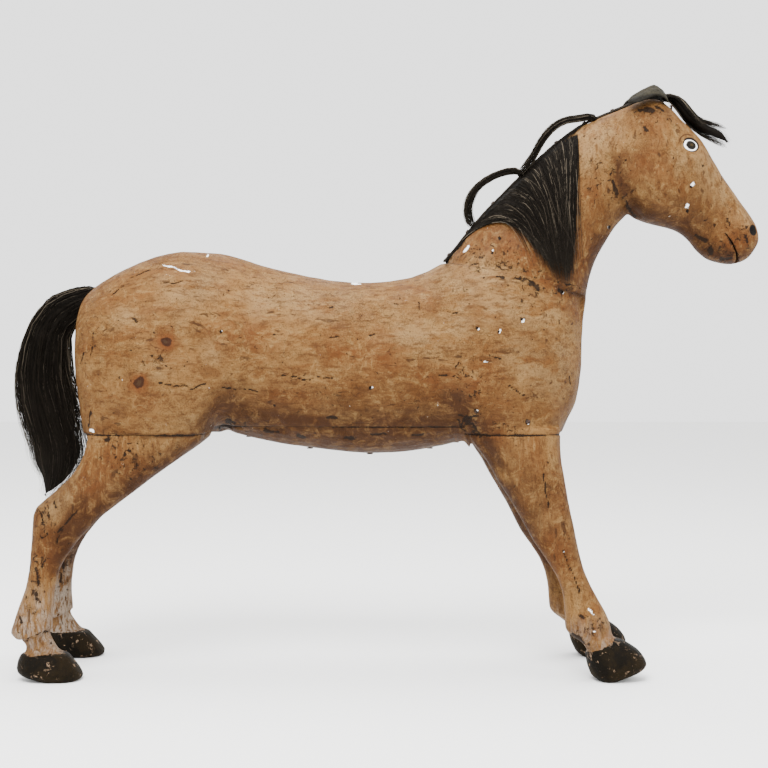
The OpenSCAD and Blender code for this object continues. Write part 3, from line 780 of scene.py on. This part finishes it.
# Sections of the bundles, from root to tip: shares of the CAD node's box along X and Z, and half
# depth and half width in millimetres.
TAIL = [(1.16, 0.93, 11, 7), (1.04, 0.95, 14, 8), (0.9, 0.94, 17, 10), (0.76, 0.91, 21, 14),
        (0.63, 0.88, 23, 17), (0.52, 0.83, 24, 19), (0.46, 0.78, 26, 22), (0.42, 0.71, 29, 24),
        (0.4, 0.63, 32, 26), (0.4, 0.55, 34, 27), (0.45, 0.46, 37, 26), (0.51, 0.36, 35, 25),
        (0.58, 0.29, 35, 23), (0.6, 0.22, 35, 21), (0.59, 0.16, 31, 17), (0.57, 0.1, 23, 13),
        (0.5, 0.04, 14, 9), (0.38, -0.01, 5, 4)]
FORELOCK = [(-0.04, 0.93, 4, 5), (0.1, 0.92, 5, 6), (0.21, 0.82, 7, 8), (0.3, 0.68, 7, 9),
            (0.39, 0.53, 7, 10), (0.49, 0.41, 7, 11), (0.6, 0.33, 8, 12), (0.73, 0.26, 9, 12),
            (0.86, 0.18, 9, 12), (0.98, 0.05, 6, 9)]
UPPER_LOCK = [(1.05, 0.84, 3, 4), (0.99, 0.93, 4, 4), (0.88, 0.91, 4, 5), (0.74, 0.88, 4, 5),
              (0.58, 0.85, 4, 5), (0.43, 0.75, 4, 5), (0.28, 0.57, 4, 5), (0.14, 0.29, 4, 5),
              (0.04, 0.03, 4, 5), (-0.05, -0.14, 4, 4), (-0.13, -0.28, 3, 4), (-0.18, -0.38, 2, 3)]
LOWER_LOCK = [(1.06, 0.84, 3, 4), (1, 0.93, 4, 4), (0.84, 0.94, 4, 5), (0.65, 0.89, 4, 5),
              (0.44, 0.79, 4, 5), (0.23, 0.63, 4, 5), (0.11, 0.43, 5, 5), (0.06, 0.2, 5, 5),
              (0.1, 0.01, 5, 4), (0.15, -0.07, 4, 4), (0.22, -0.14, 3, 3)]


def hair_piece(node, rows, body, count, steps, seed, fuzz, thick, core=None, edge_highlight=0.1, **more):
    """Finished hair in place of a CAD node, with a core drawn in from the node by so many metres."""
    r = np.random.default_rng(seed + 50)
    paths, across, out = bundle(in_box(node, rows), count, steps, seed, fuzz, **more)
    # Tan hairs are likelier on the bundle's front and rear edges, as a painted highlight there.
    bright = 0.05 + edge_highlight * np.clip(np.abs(across), 0, 1) ** 2 * (out > 0.8)
    low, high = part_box(node)
    paths[..., 1] += (low.y + high.y) / 2
    solid = shrunk(node, node + "_core", core) if core else None
    obj = tubes(node + "_strands", paths, r.uniform(0.7, 1.25, count) * thick * MM,
                hair_tints(r, bright), solid)
    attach(obj, body)
    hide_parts(node)
    return obj


# The mane fans out from the crest. Its rearmost and its foremost hair bend and end here: x and z.
MANE_BEND = np.array([(146, 568), (219, 570)])
MANE_END = np.array([(188, 478), (215, 468)])
CREST = (0.10, 0.76)                                # the part of the strip that hair hangs from
GRID = 3                                            # millimetres between samples of the neck's surface


def neck_surface(neck):
    """How far out the neck's right side is, on a grid of x and z in millimetres."""
    tree = BVHTree.FromPolygons(coords(neck.data).tolist(), [p.vertices[:] for p in neck.data.polygons])
    xs, zs = np.arange(50, 260, GRID), np.arange(440, 680, GRID)
    grid = np.full((len(xs), len(zs)), np.nan)
    for i, x in enumerate(xs):
        for j, z in enumerate(zs):
            hit = tree.ray_cast(Vector((x * MM, -0.3, z * MM)), Vector((0, 1, 0)))[0]
            if hit:
                grid[i, j] = -hit.y / MM
    return xs, zs, grid


def mane(neck, strip):
    """The hair that falls over the right side of the neck, on a dark sheet."""
    r = np.random.default_rng(21)
    xs, zs, grid = neck_surface(neck)
    trunk_width, trunk_top = 58, 486
    grid = np.where(np.isnan(grid), np.where(zs[None, :] < trunk_top, trunk_width, 4.0), grid)
    crest = np.array(crest_line(strip))

    def surface(x, z):
        i = np.clip((x - xs[0]) / GRID, 0, len(xs) - 1.001)
        j = np.clip((z - zs[0]) / GRID, 0, len(zs) - 1.001)
        a, b = i.astype(int), j.astype(int)
        f, g = i - a, j - b
        return (grid[a, b] * (1 - f) * (1 - g) + grid[a + 1, b] * f * (1 - g)
                + grid[a, b + 1] * (1 - f) * g + grid[a + 1, b + 1] * f * g)

    def on_crest(share):
        at = share * (len(crest) - 1)
        i = np.clip(at.astype(int), 0, len(crest) - 2)
        return crest[i] + (crest[i + 1] - crest[i]) * (at - i)[..., None]

    def fan(q, t, lift):
        """Point of the fan: q across it from rear to front, t along the hair, lift off the neck."""
        bend, end = [at[0] * (1 - q)[..., None] + at[1] * q[..., None] for at in (MANE_BEND, MANE_END)]
        p = on_crest(np.clip(q, 0, 1)) * ((1 - t) ** 2)[..., None]
        p = p + bend * (2 * t * (1 - t))[..., None] + end * (t ** 2)[..., None]
        y = surface(p[..., 0], p[..., 1])
        y = y + np.minimum(lift, 1.5 + 60 * t) + 0.5
        y = np.maximum(y * np.clip(t / 0.06, 0, 1), 3.0)
        return np.stack([p[..., 0], -y, p[..., 1]], -1)

    count, steps, clumps = 2100, 11, 90
    clump = r.integers(0, clumps, count)
    q0 = r.uniform(0, 1, clumps)[clump] + r.normal(0, 0.035, count)
    layer = r.uniform(0, 1, count) ** 0.7
    end = np.clip(r.uniform(0.72, 1.04, clumps)[clump] + r.normal(0, 0.03, count), 0.4, 1.06)
    t = np.linspace(0, 1, steps)[None, :] * end[:, None]
    sway = r.normal(0, 0.05, (clumps, 1))[clump] + r.normal(0, 0.03, (count, 1))
    wave = np.sin(r.uniform(0, 7, (count, 1)) + t * r.uniform(3, 8, (count, 1))) * 0.012
    q = np.clip(q0[:, None] + (sway * t + wave) * (0.3 + t), -0.02, 1.06)
    full = 0.35 + 0.65 * np.sin(np.pi * np.clip(q, 0, 1))
    lift = r.uniform(-1, 2.2, clumps)[clump][:, None] * t + 1.0
    lift = lift + 6.0 * layer[:, None] * full * (1 - 0.45 * t)
    paths = fan(q, t, lift) * MM
    turn = r.uniform(0, 7, (2, count, 1)) + t * r.uniform(6, 16, (2, count, 1))
    loose = (layer[:, None] > 0.45) * (0.3 + t) * 1.5 * MM
    paths[..., 0] += np.sin(turn[0]) * loose
    paths[..., 2] += np.sin(turn[1]) * loose
    stray = (r.uniform(0, 1, count) < 0.3)[:, None] * t ** 2
    paths[..., 0] += stray * r.normal(0, 9, (count, 1)) * MM
    # Short hairs that lie along the strip.
    short = 700
    at = r.uniform(-0.1, 1.1, short)
    root = on_crest(np.clip(at[:, None] - np.linspace(0, 0.12, steps)[None, :], -0.15, 1.12))
    rise = (np.linspace(0, 1, steps) ** 1.5)[None, :] * r.uniform(-5.5, 1.2, (short, 1))
    x, z = root[..., 0] - 0.69 * rise, root[..., 1] + 0.72 * rise
    out = np.maximum(surface(x, z) + 0.3, 4.6) + r.uniform(0, 1.6, (short, 1))
    paths = np.concatenate([paths, np.stack([x, -out, z], -1) * MM])
    layer, q0 = np.append(layer, np.zeros(short)), np.append(q0, np.zeros(short))
    # Tan hairs in the top layer, near the rear and across the middle of the fan, are a painted highlight.
    bright = 0.02 + 0.2 * (layer > 0.7) * (fall((q0 - 0.12) / 0.12) + 0.5 * fall((q0 - 0.62) / 0.25))
    # A dark sheet under the hairs.
    side = 60
    sheet = side * side
    qs, ts = np.meshgrid(np.linspace(0.01, 0.99, side), np.linspace(0.02, 0.93, side), indexing="ij")
    co = np.concatenate([fan(qs, ts, np.full(qs.shape, lift)).reshape(-1, 3) * MM for lift in (2.4, 0.3)])
    idx = np.arange(sheet).reshape(side, side)
    quad = np.stack([idx[:-1, :-1], idx[1:, :-1], idx[1:, 1:], idx[:-1, 1:]], -1).reshape(-1, 4)
    rim = np.concatenate([idx[:, 0], idx[-1, 1:], idx[-2::-1, -1], idx[0, -2:0:-1]])
    walls = np.stack([rim, np.roll(rim, -1), np.roll(rim, -1) + sheet, rim + sheet], -1)
    core = from_arrays("mane_core", co, quad[:, ::-1].tolist() + (quad + sheet).tolist() + walls.tolist())
    attribute(core.data, "tint", np.full(len(co), 0.04))
    attribute(core.data, "along", np.full(len(co), 0.4))
    thick = r.uniform(0.28, 0.5, count + short) * MM
    obj = tubes("mane_hair_strands", paths, thick, hair_tints(r, bright), core)
    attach(obj, "horse")
    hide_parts("mane_hair")
    return obj


def crest_line(strip):
    """Where the mane's hairs start: along the foot of the strip, as x and z in millimetres."""
    co = coords(strip.data) / MM
    along = co[:, 0] * 0.72 + co[:, 2] * 0.69
    low, high = along.min(), along.max()
    points = []
    for share in np.linspace(*CREST, 12):
        here = co[np.abs(along - (low + (high - low) * share)) < 5]
        foot = here[np.argsort(here[:, 2] - here[:, 0])][: max(2, len(here) // 2)]
        points.append((foot[:, 0].mean() - 0.5, foot[:, 2].mean() + 0.5))
    return points


# ---- Leather and iron ----

def worn_copy(node, name, voxel, rough, seed, body):
    """A finer copy of a CAD node with an uneven surface."""
    obj = make(name, nodes[node].data.copy())
    remesh(obj, voxel)
    mesh = obj.data
    co = smoothed(coords(mesh), edges(mesh), 3)
    set_coords(mesh, co)
    n = normals(mesh)
    co += n * ((waves(co, 9 * MM, seed) * 0.6 + waves(co, 3 * MM, seed + 1) * 0.4) * rough)[:, None]
    set_coords(mesh, co)
    smooth_shaded(mesh)
    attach(obj, body)
    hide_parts(node)
    return obj


def ears():
    """The leather leaves, with a rolled rim and folds that run along them."""
    for side in ("right", "left"):
        obj = worn_copy(f"ear_{side}", f"ear_{side}_leather", 0.55 * MM, 0.25 * MM, 31,
                        f"ear_flap_{side}")
        mesh = obj.data
        co = coords(mesh)
        x, y = (co / MM).T[:2]
        co[:, 2] += np.sin(np.abs(y) * 0.55 + x * 0.04) * 0.45 * MM
        set_coords(mesh, co)
        low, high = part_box(f"ear_{side}")
        wide = max(abs(low.y), abs(high.y)) / MM
        edge = np.interp(x, (286, 300, 317, 334), (wide - 9, wide - 2, wide, wide - 6))
        rim = np.clip((np.abs(y) - edge + 2.2) / 1.6, 0, 1)
        # The undersides also get the dark rim colour: painted shade.
        under = np.clip(-normals(mesh)[:, 2] * 2, 0, 1)
        attribute(mesh, "rim", np.maximum(rim, under))


# ---- Materials ----

class Shader:
    """A material and short ways to add nodes to it."""

    def __init__(self, name):
        self.material = bpy.data.materials.new(name)
        self.material.use_nodes = True
        self.tree = self.material.node_tree
        self.out = self.tree.nodes["Principled BSDF"].inputs

    def add(self, kind, inputs=(), out=0, **settings):
        node = self.tree.nodes.new("ShaderNode" + kind)
        for key, value in settings.items():
            setattr(node, key, value)
        for key, value in dict(inputs).items():
            self.put(node.inputs[key], value)
        return node.outputs[out]

    def put(self, socket, value):
        if isinstance(value, bpy.types.NodeSocket):
            self.tree.links.new(value, socket)
        else:
            socket.default_value = value

    def place(self, stretch=(1, 1, 1)):
        where = self.add("TexCoord", out="Object")
        return self.add("Mapping", {"Vector": where, "Scale": stretch})

    def noise(self, where, scale, detail=4, rough=0.55, warp=0.0):
        return self.add("TexNoise", {"Vector": where, "Scale": scale, "Detail": detail,
                                     "Roughness": rough, "Distortion": warp}, out="Fac")

    def warped(self, where, scale, amount):
        """The same coordinates, pushed about by noise."""
        push = self.add("TexNoise", {"Vector": where, "Scale": scale, "Detail": 3}, out="Color")
        push = self.add("VectorMath", {0: push, 1: (0.5, 0.5, 0.5)}, operation="SUBTRACT")
        push = self.add("VectorMath", {0: push, 3: amount}, operation="SCALE")
        return self.add("VectorMath", {0: where, 1: push}, operation="ADD")

    def cells(self, where, scale, feature="F1"):
        return self.add("TexVoronoi", {"Vector": where, "Scale": scale}, out="Distance", feature=feature)

    def cracks(self, where, scale, low, high):
        """The edges between cells, as 1 on the edge. low is the larger."""
        return self.step(self.cells(where, scale, "DISTANCE_TO_EDGE"), low, high)

    def step(self, value, low, high, least=0.0, most=1.0):
        """least below low and most above high, or the other way round where low is the larger."""
        if low > high:
            low, high, least, most = high, low, most, least
        return self.add("MapRange", {"Value": value, "From Min": low, "From Max": high,
                                     "To Min": least, "To Max": most},
                        interpolation_type="SMOOTHSTEP")

    def math(self, what, a, b=0.0):
        return self.add("Math", {0: a, 1: b}, operation=what)

    def times(self, a, *more):
        for b in more:
            a = self.math("MULTIPLY", a, b)
        return a

    def mix(self, share, a, b):
        node = self.tree.nodes.new("ShaderNodeMix")
        node.data_type = "RGBA"
        self.put(node.inputs[0], share)
        self.put(node.inputs[6], a)
        self.put(node.inputs[7], b)
        return node.outputs[2]

    def value(self, name):
        return self.add("Attribute", out="Fac", attribute_name=name)

    def bump(self, height, distance, strength):
        return self.add("Bump", {"Height": height, "Distance": distance, "Strength": strength})

    def spread(self, noise, amount):
        """Noise moved to lie on both sides of 0."""
        return self.times(self.math("SUBTRACT", noise, 0.5), amount)

    def coat(self, share, strength, *rgb):
        """Covers the colour so far with another, given as it shows in the picture."""
        self.colour = self.mix(self.times(share, strength), self.colour, srgb(*rgb))

    def finish(self, colour, rough, normal=None, shine=0.4):
        self.put(self.out["Base Color"], colour)
        self.put(self.out["Roughness"], rough)
        self.put(self.out["Specular IOR Level"], shine)
        if normal is not None:
            self.put(self.out["Normal"], normal)
        return self.material


EXPOSURE = (0.31, 0.26, 0.155)      # how dark paint is against how it shows in this bright room


def srgb(r, g, b):
    """Colour as it shows in the picture, 0 to 255, as the shader's linear colour."""
    return tuple(((c / 255) / 12.92 if c < 11 else ((c / 255 + 0.055) / 1.055) ** 2.4) * k
                 for c, k in zip((r, g, b), EXPOSURE)) + (1,)


WHITE = (0.80, 0.79, 0.77, 1)       # the gesso ground


def painted_pine(name, grain, face=False):
    """Worn tan paint over pine. grain is below 1 along the axis that its pattern is drawn out on."""
    s = Shader(name)
    even = s.place()
    grained = s.place(grain)
    broad = s.noise(even, 9, 5, 0.62, 0.4)
    streak = s.noise(grained, 44, 7, 0.7, 0.7)
    mottle = s.noise(even, 62, 7, 0.74, 0.9)
    fine = s.noise(grained, 190, 6, 0.72, 0.4)
    patchy = s.noise(even, 34, 5, 0.7, 0.3)
    grit = s.noise(even, 520, 3, 0.65)
    s.colour = s.mix(s.step(broad, 0.38, 0.6), srgb(160, 120, 82), srgb(184, 146, 108))
    for field, low, high, strength, *rgb in (
            (streak, 0.5, 0.64, 0.55, 150, 98, 54), (streak, 0.47, 0.36, 0.5, 196, 164, 128),
            (mottle, 0.52, 0.62, 0.6, 136, 92, 54), (mottle, 0.46, 0.37, 0.6, 198, 168, 134)):
        s.coat(s.step(field, low, high), strength, *rgb)
    s.coat(s.times(s.value("warm"), s.step(mottle, 0.36, 0.56)), 0.8, 140, 86, 46)
    s.coat(s.times(s.value("pale"), s.step(s.noise(grained, 80, 7, 0.75), 0.4, 0.54)), 0.8, 202, 174, 146)
    s.coat(s.step(fine, 0.5, 0.64), 0.65, 112, 74, 42)
    s.coat(s.step(fine, 0.45, 0.34), 0.5, 212, 184, 150)
    s.coat(s.step(grit, 0.53, 0.66), 0.55, 96, 64, 40)
    # The legs' lower ends have lost their tan and show grey and pink ground, cracked and flaking.
    bare = s.times(s.value("bare"), s.step(patchy, 0.3, 0.46))
    pinkish = s.step(s.noise(grained, 120, 7, 0.78, 1.0), 0.42, 0.56)
    ground = s.mix(pinkish, (0.20, 0.165, 0.13, 1), srgb(146, 112, 86))
    ground = s.mix(s.step(s.noise(grained, 170, 6, 0.75, 0.6), 0.55, 0.61), ground, srgb(84, 62, 48))
    s.colour = s.mix(s.times(bare, 0.85), s.colour, ground)
    # Painted shade where the shade value is, broken up by the mottle.
    s.coat(s.value("shade"), s.step(mottle, 0.34, 0.56, 0.5, 0.95), 78, 48, 25)
    # Crackle: two nets of fine dark cracks, stronger in some places than in others.
    net = s.times(s.cracks(s.warped(even, 90, 0.012), 120, 0.05, 0.015),
                  s.step(s.noise(even, 16, 4, 0.6), 0.48, 0.66), s.step(s.noise(even, 70, 3), 0.42, 0.6))
    small_net = s.times(s.cracks(s.warped(even, 200, 0.006), 330, 0.08, 0.02),
                        s.step(s.noise(even, 22, 4, 0.6), 0.42, 0.6))
    s.coat(net, 0.55, 84, 56, 34)
    s.coat(small_net, 0.4, 104, 70, 44)
    # Scratches along the grain, flecks and worm holes.
    drawn_out = s.place((grain[0] * 0.5, 1, grain[2] * 0.5))
    scratch = s.times(s.step(s.noise(drawn_out, 230, 3, 0.6, 0.5), 0.62, 0.66),
                      s.step(s.noise(even, 30, 3), 0.46, 0.56))
    dense = s.times(s.value("flecked"), 0.10)
    fleck = s.step(s.math("ADD", s.noise(even, 150, 6, 0.72, 0.8), dense), 0.645, 0.67)
    spots = s.times(s.step(s.cells(s.warped(grained, 120, 0.01), 70), 0.15, 0.09),
                    s.step(s.noise(even, 27, 3, 0.6), 0.47, 0.56))
    worm = s.step(s.cells(s.warped(even, 60, 0.02), 46), 0.062, 0.04)
    s.coat(scratch, 0.7, 78, 50, 30)
    s.coat(spots, 0.75, 72, 48, 30)
    s.coat(fleck, 0.9, 56, 40, 28)
    s.coat(worm, 0.9, 34, 22, 14)
    # Knots: a reddish halo, a dark core and a greyer middle.
    knot = s.math("ADD", s.value("knot"), s.spread(mottle, 0.5))
    s.coat(s.step(knot, 0.74, 0.3), 0.7, 140, 84, 46)
    s.coat(s.step(knot, 0.36, 0.26), 0.92, 66, 38, 24)
    s.coat(s.step(knot, 0.16, 0.1), 0.45, 96, 78, 64)
    # Chips down to the white ground, then stains and cracks.
    chip = s.step(s.math("ADD", s.value("chip"), s.spread(s.noise(even, 330, 5, 0.7), 1.7)), 0.42, 0.5)
    flaked = s.step(s.noise(even, 110, 6, 0.74), 0.69, 0.71)
    s.colour = s.mix(s.times(flaked, 0.85), s.colour, (0.40, 0.34, 0.27, 1))
    s.colour = s.mix(chip, s.colour, WHITE)
    dark = s.step(s.math("ADD", s.value("dark"), s.spread(s.noise(even, 125, 8, 0.8, 0.6), 3.6)), 0.42, 0.56)
    dark = s.times(dark, s.step(s.value("dark"), 0.02, 0.2))
    s.coat(dark, 0.92, 42, 29, 20)
    s.colour = s.mix(s.step(s.value("hole"), 0.45, 0.6), s.colour, srgb(30, 20, 14))
    # Hooves: black paint, chipped to tan.
    hoof = s.step(s.math("ADD", s.value("hoof"), s.spread(s.noise(even, 150, 5, 0.7), 0.6)), -0.01, 0.03)
    black = s.mix(s.step(patchy, 0.4, 0.62), srgb(24, 21, 16), srgb(50, 43, 33))
    worn = s.step(s.noise(even, 110, 7, 0.78, 0.5), 0.60, 0.615)
    black = s.mix(s.times(worn, 0.9), black, (0.19, 0.125, 0.08, 1))
    s.colour = s.mix(hoof, s.colour, black)
    if face:
        paint_face(s)
    height = s.math("ADD", s.times(fine, 0.7), s.times(streak, 0.8))
    height = s.math("ADD", height, s.times(mottle, 0.8))
    for cut, deep in ((net, 0.6), (small_net, 0.3), (s.math("MAXIMUM", worm, fleck), 1.0), (chip, 0.6),
                      (scratch, 0.5), (dark, 0.8)):
        height = s.math("SUBTRACT", height, s.times(cut, deep))
    rough = s.step(patchy, 0.3, 0.7, 0.5, 0.72)
    return s.finish(s.colour, rough, s.bump(height, 1.0 * MM, 0.8), s.step(hoof, 0, 1, 0.09, 0.05))


def paint_face(s):
    """Eyes, lids, brows and nostrils, painted on both sides of the head."""
    where = s.add("TexCoord", out="Object")
    axes = s.add("SeparateXYZ", {0: where}).node.outputs
    x, z = axes[0], axes[2]
    wobble = s.spread(s.noise(where, 260, 3, 0.6), 2.2)

    def oval(at, shift, rx, rz, turn=0.0):
        """Distance from a point, 1 on the oval round it, with an uneven edge."""
        dx = s.math("SUBTRACT", s.times(x, 1 / MM), at[0] + shift[0])
        dz = s.math("SUBTRACT", s.times(z, 1 / MM), at[1] + shift[1])
        c, k = math.cos(turn), math.sin(turn)
        u = s.math("ADD", s.times(dx, c), s.times(dz, k))
        v = s.math("SUBTRACT", s.times(dz, c), s.times(dx, k))
        u = s.math("DIVIDE", s.math("ADD", u, wobble), rx)
        v = s.math("DIVIDE", v, rz)
        return s.math("SQRT", s.math("ADD", s.times(u, u), s.times(v, v)))

    brow = oval(EYE, (-2.0, 1.0), 12.6, 12.4)
    upper = s.step(z, (EYE[1] + 1.5) * MM, (EYE[1] + 4.5) * MM)
    rear = s.step(x, (EYE[0] + 4) * MM, (EYE[0] - 1) * MM)
    s.coat(s.times(s.step(brow, 0.92, 0.97), s.step(brow, 1.08, 1.03), upper, rear), 0.85, 84, 52, 30)
    for shift, rx, rz, turn, outer, inner, paint in (
            ((0.8, 1.0), 10.5, 8.8, -0.25, 1.03, 0.97, srgb(44, 32, 24)),
            ((0, 0), 8.7, 6.8, -0.2, 1.03, 0.97, WHITE),
            ((0.5, 0.2), 6.4, 5.3, -0.2, 1.04, 0.96, srgb(34, 30, 24))):
        s.colour = s.mix(s.step(oval(EYE, shift, rx, rz, turn), outer, inner), s.colour, paint)
    s.coat(s.step(oval(EYE, (1.2, 0.6), 2.4, 1.9), 1.2, 0.6), 0.7, 96, 82, 58)
    nostril = oval(NOSTRIL, (0, 0), 5.0, 6.8, 0.1)
    s.colour = s.mix(s.step(nostril, 1.05, 0.9), s.colour, srgb(22, 18, 16))


def horsehair():
    s = Shader("horsehair")
    where = s.place()
    tint = s.value("tint")
    band = s.noise(where, 40, 3, 0.6)
    colour = s.mix(s.step(tint, 0.05, 0.4), (0.0045, 0.0035, 0.0025, 1), (0.012, 0.0092, 0.0062, 1))
    colour = s.mix(s.step(tint, 0.4, 1.0), colour, (0.105, 0.086, 0.062, 1))
    colour = s.mix(s.times(s.step(band, 0.5, 0.7), 0.5), colour, (0.008, 0.006, 0.0045, 1))
    colour = s.mix(s.times(s.step(s.value("along"), 0.75, 1.0), 0.25), colour, (0.04, 0.033, 0.025, 1))
    return s.finish(colour, 0.62, None, 0.04)


def leather(name, base, rim, worn):
    """Creased leather, darker on its rim and in its creases and paler where it is worn. The rim value also
    holds painted shade on the undersides.
    """
    s = Shader(name)
    where = s.place()
    patches = s.noise(where, 60, 5, 0.65)
    pores = s.cells(s.warped(where, 300, 0.002), 900, "DISTANCE_TO_EDGE")
    creases = s.cracks(s.warped(where, 120, 0.01), 190, 0.08, 0.02)
    colour = s.mix(s.step(patches, 0.35, 0.65), base, worn)
    colour = s.mix(s.times(creases, 0.5), colour, rim)
    # Rim colour where the rim value is: the worn rim, and painted shade on the undersides.
    colour = s.mix(s.times(s.value("rim"), 0.9), colour, rim)
    colour = s.mix(s.times(s.step(s.noise(where, 420, 4, 0.7), 0.58, 0.7), 0.5), colour, worn)
    height = s.math("SUBTRACT", s.times(pores, 0.6), s.times(creases, 0.8))
    return s.finish(colour, s.step(patches, 0.3, 0.7, 0.5, 0.75), s.bump(height, 0.5 * MM, 0.7), 0.05)


def old_iron():
    s = Shader("old_iron")
    where = s.place()
    rust = s.noise(where, 380, 5, 0.7)
    colour = s.mix(s.step(rust, 0.42, 0.6), srgb(44, 38, 34), srgb(92, 58, 36))
    s.put(s.out["Metallic"], s.step(rust, 0.6, 0.42, 0.1, 0.8))
    return s.finish(colour, s.step(rust, 0.4, 0.6, 0.45, 0.8), s.bump(rust, 0.3 * MM, 0.6))


def plain_wood():
    s = Shader("peg_wood")
    grained = s.place((1, 1, 0.2))
    lines = s.noise(grained, 240, 5, 0.6)
    colour = s.mix(s.step(lines, 0.4, 0.65), srgb(196, 160, 112), srgb(156, 116, 72))
    return s.finish(colour, 0.7, s.bump(lines, 0.4 * MM, 0.5))


def painted(obj, material):
    obj.data.materials.clear()
    obj.data.materials.append(material)


# ---- Room ----

def room():
    """A pale floor under a bright, even sky, with three soft lamps."""
    size = 6
    corners = [(-size, -size, 0), (size, -size, 0), (size, size, 0), (-size, size, 0)]
    floor = from_arrays("floor", corners, [(0, 1, 2, 3)])
    s = Shader("pale_floor")
    painted(floor, s.finish((0.88, 0.88, 0.87, 1), 0.9))
    world = bpy.data.worlds.new("studio")
    bpy.context.scene.world = world
    world.use_nodes = True
    sky = world.node_tree.nodes["Background"].inputs
    sky["Color"].default_value = (1, 1, 1, 1)
    sky["Strength"].default_value = 2.3
    for name, where, size, power in (("key", (-0.4, -1.6, 2.3), 1.2, 130),
                                     ("fill", (1.7, -1.6, 1.3), 1.6, 16),
                                     ("top", (0.1, 0.3, 2.4), 1.4, 50)):
        light = bpy.data.lights.new(name, "AREA")
        light.size, light.energy = size, power
        lamp = bpy.data.objects.new(name, light)
        lamp.location = where
        lamp.rotation_euler = (Vector((0, 0, 0.35)) - Vector(where)).to_track_quat("-Z", "Y").to_euler()
        bpy.context.scene.collection.objects.link(lamp)


def camera():
    """At half the horse's height, 1.8 m off the middle of its right side, tipped down a little."""
    cam = bpy.data.cameras.new("camera")
    cam.lens, cam.sensor_width = 70.3, 36
    obj = bpy.data.objects.new("camera", cam)
    obj.location = (-0.003, -1.8, 0.384)
    obj.rotation_euler = (math.radians(90 - 1.375), 0, 0)
    cam.clip_start, cam.clip_end = 0.05, 50
    bpy.context.scene.collection.objects.link(obj)
    bpy.context.scene.camera = obj


camera()
room()
wood = wood_pieces()
mark_wood(wood)
lengthwise = painted_pine("painted_pine_lengthwise", (0.3, 1, 1))
upright = painted_pine("painted_pine_upright", (1, 1, 0.22))
face = painted_pine("painted_pine_face", (0.8, 1, 0.35), face=True)
pines = {"trunk": lengthwise, "belly_board": lengthwise, "neck_and_head": face}
for name, piece in wood.items():
    painted(piece, pines.get(name, upright))

strip = worn_copy("mane_strip", "mane_strip_leather", 1.0 * MM, 0.3 * MM, 41, "horse")
hair = horsehair()
painted(hair_piece("tail_hair", TAIL, "tail", 2200, 12, 61, 2.4, 0.38, core=6.5 * MM, edge_highlight=0.25,
                   ends=(0.6, 1.0), clumps=70, flare=0.9), hair)
painted(hair_piece("forelock_hair", FORELOCK, "forelock", 700, 11, 62, 1.8, 0.3, core=3.8 * MM,
                   edge_highlight=0.35, ends=(0.62, 1.0), clumps=9, flare=6.0, spread=0.35), hair)
for node, rows, seed in (("mane_lock_upper", UPPER_LOCK, 63), ("mane_lock_lower", LOWER_LOCK, 64)):
    painted(hair_piece(node, rows, "horse", 330, 14, seed, 1.0, 0.27, edge_highlight=0.5,
                       ends=(0.9, 1.0), clumps=7, flare=1.2, spread=0.45), hair)
painted(mane(wood["neck_and_head"], strip), hair)

ears()
ear_leather = leather("ear_leather", (0.016, 0.0142, 0.009, 1), (0.005, 0.0042, 0.003, 1),
                      (0.028, 0.024, 0.0155, 1))
for side in ("right", "left"):
    painted(bpy.data.objects[f"ear_{side}_leather"], ear_leather)
painted(strip, leather("strip_leather", (0.010, 0.008, 0.006, 1), (0.004, 0.003, 0.003, 1),
                       (0.022, 0.017, 0.012, 1)))

iron = old_iron()
for node in ("belly_board_nails", "leg_nails", "mane_strip_tacks", "ear_tacks"):
    painted(nodes[node], iron)
pegs = plain_wood()
for node in ("leg_pegs_hind", "leg_pegs_front", "neck_pegs", "tail_plug"):
    painted(nodes[node], pegs)
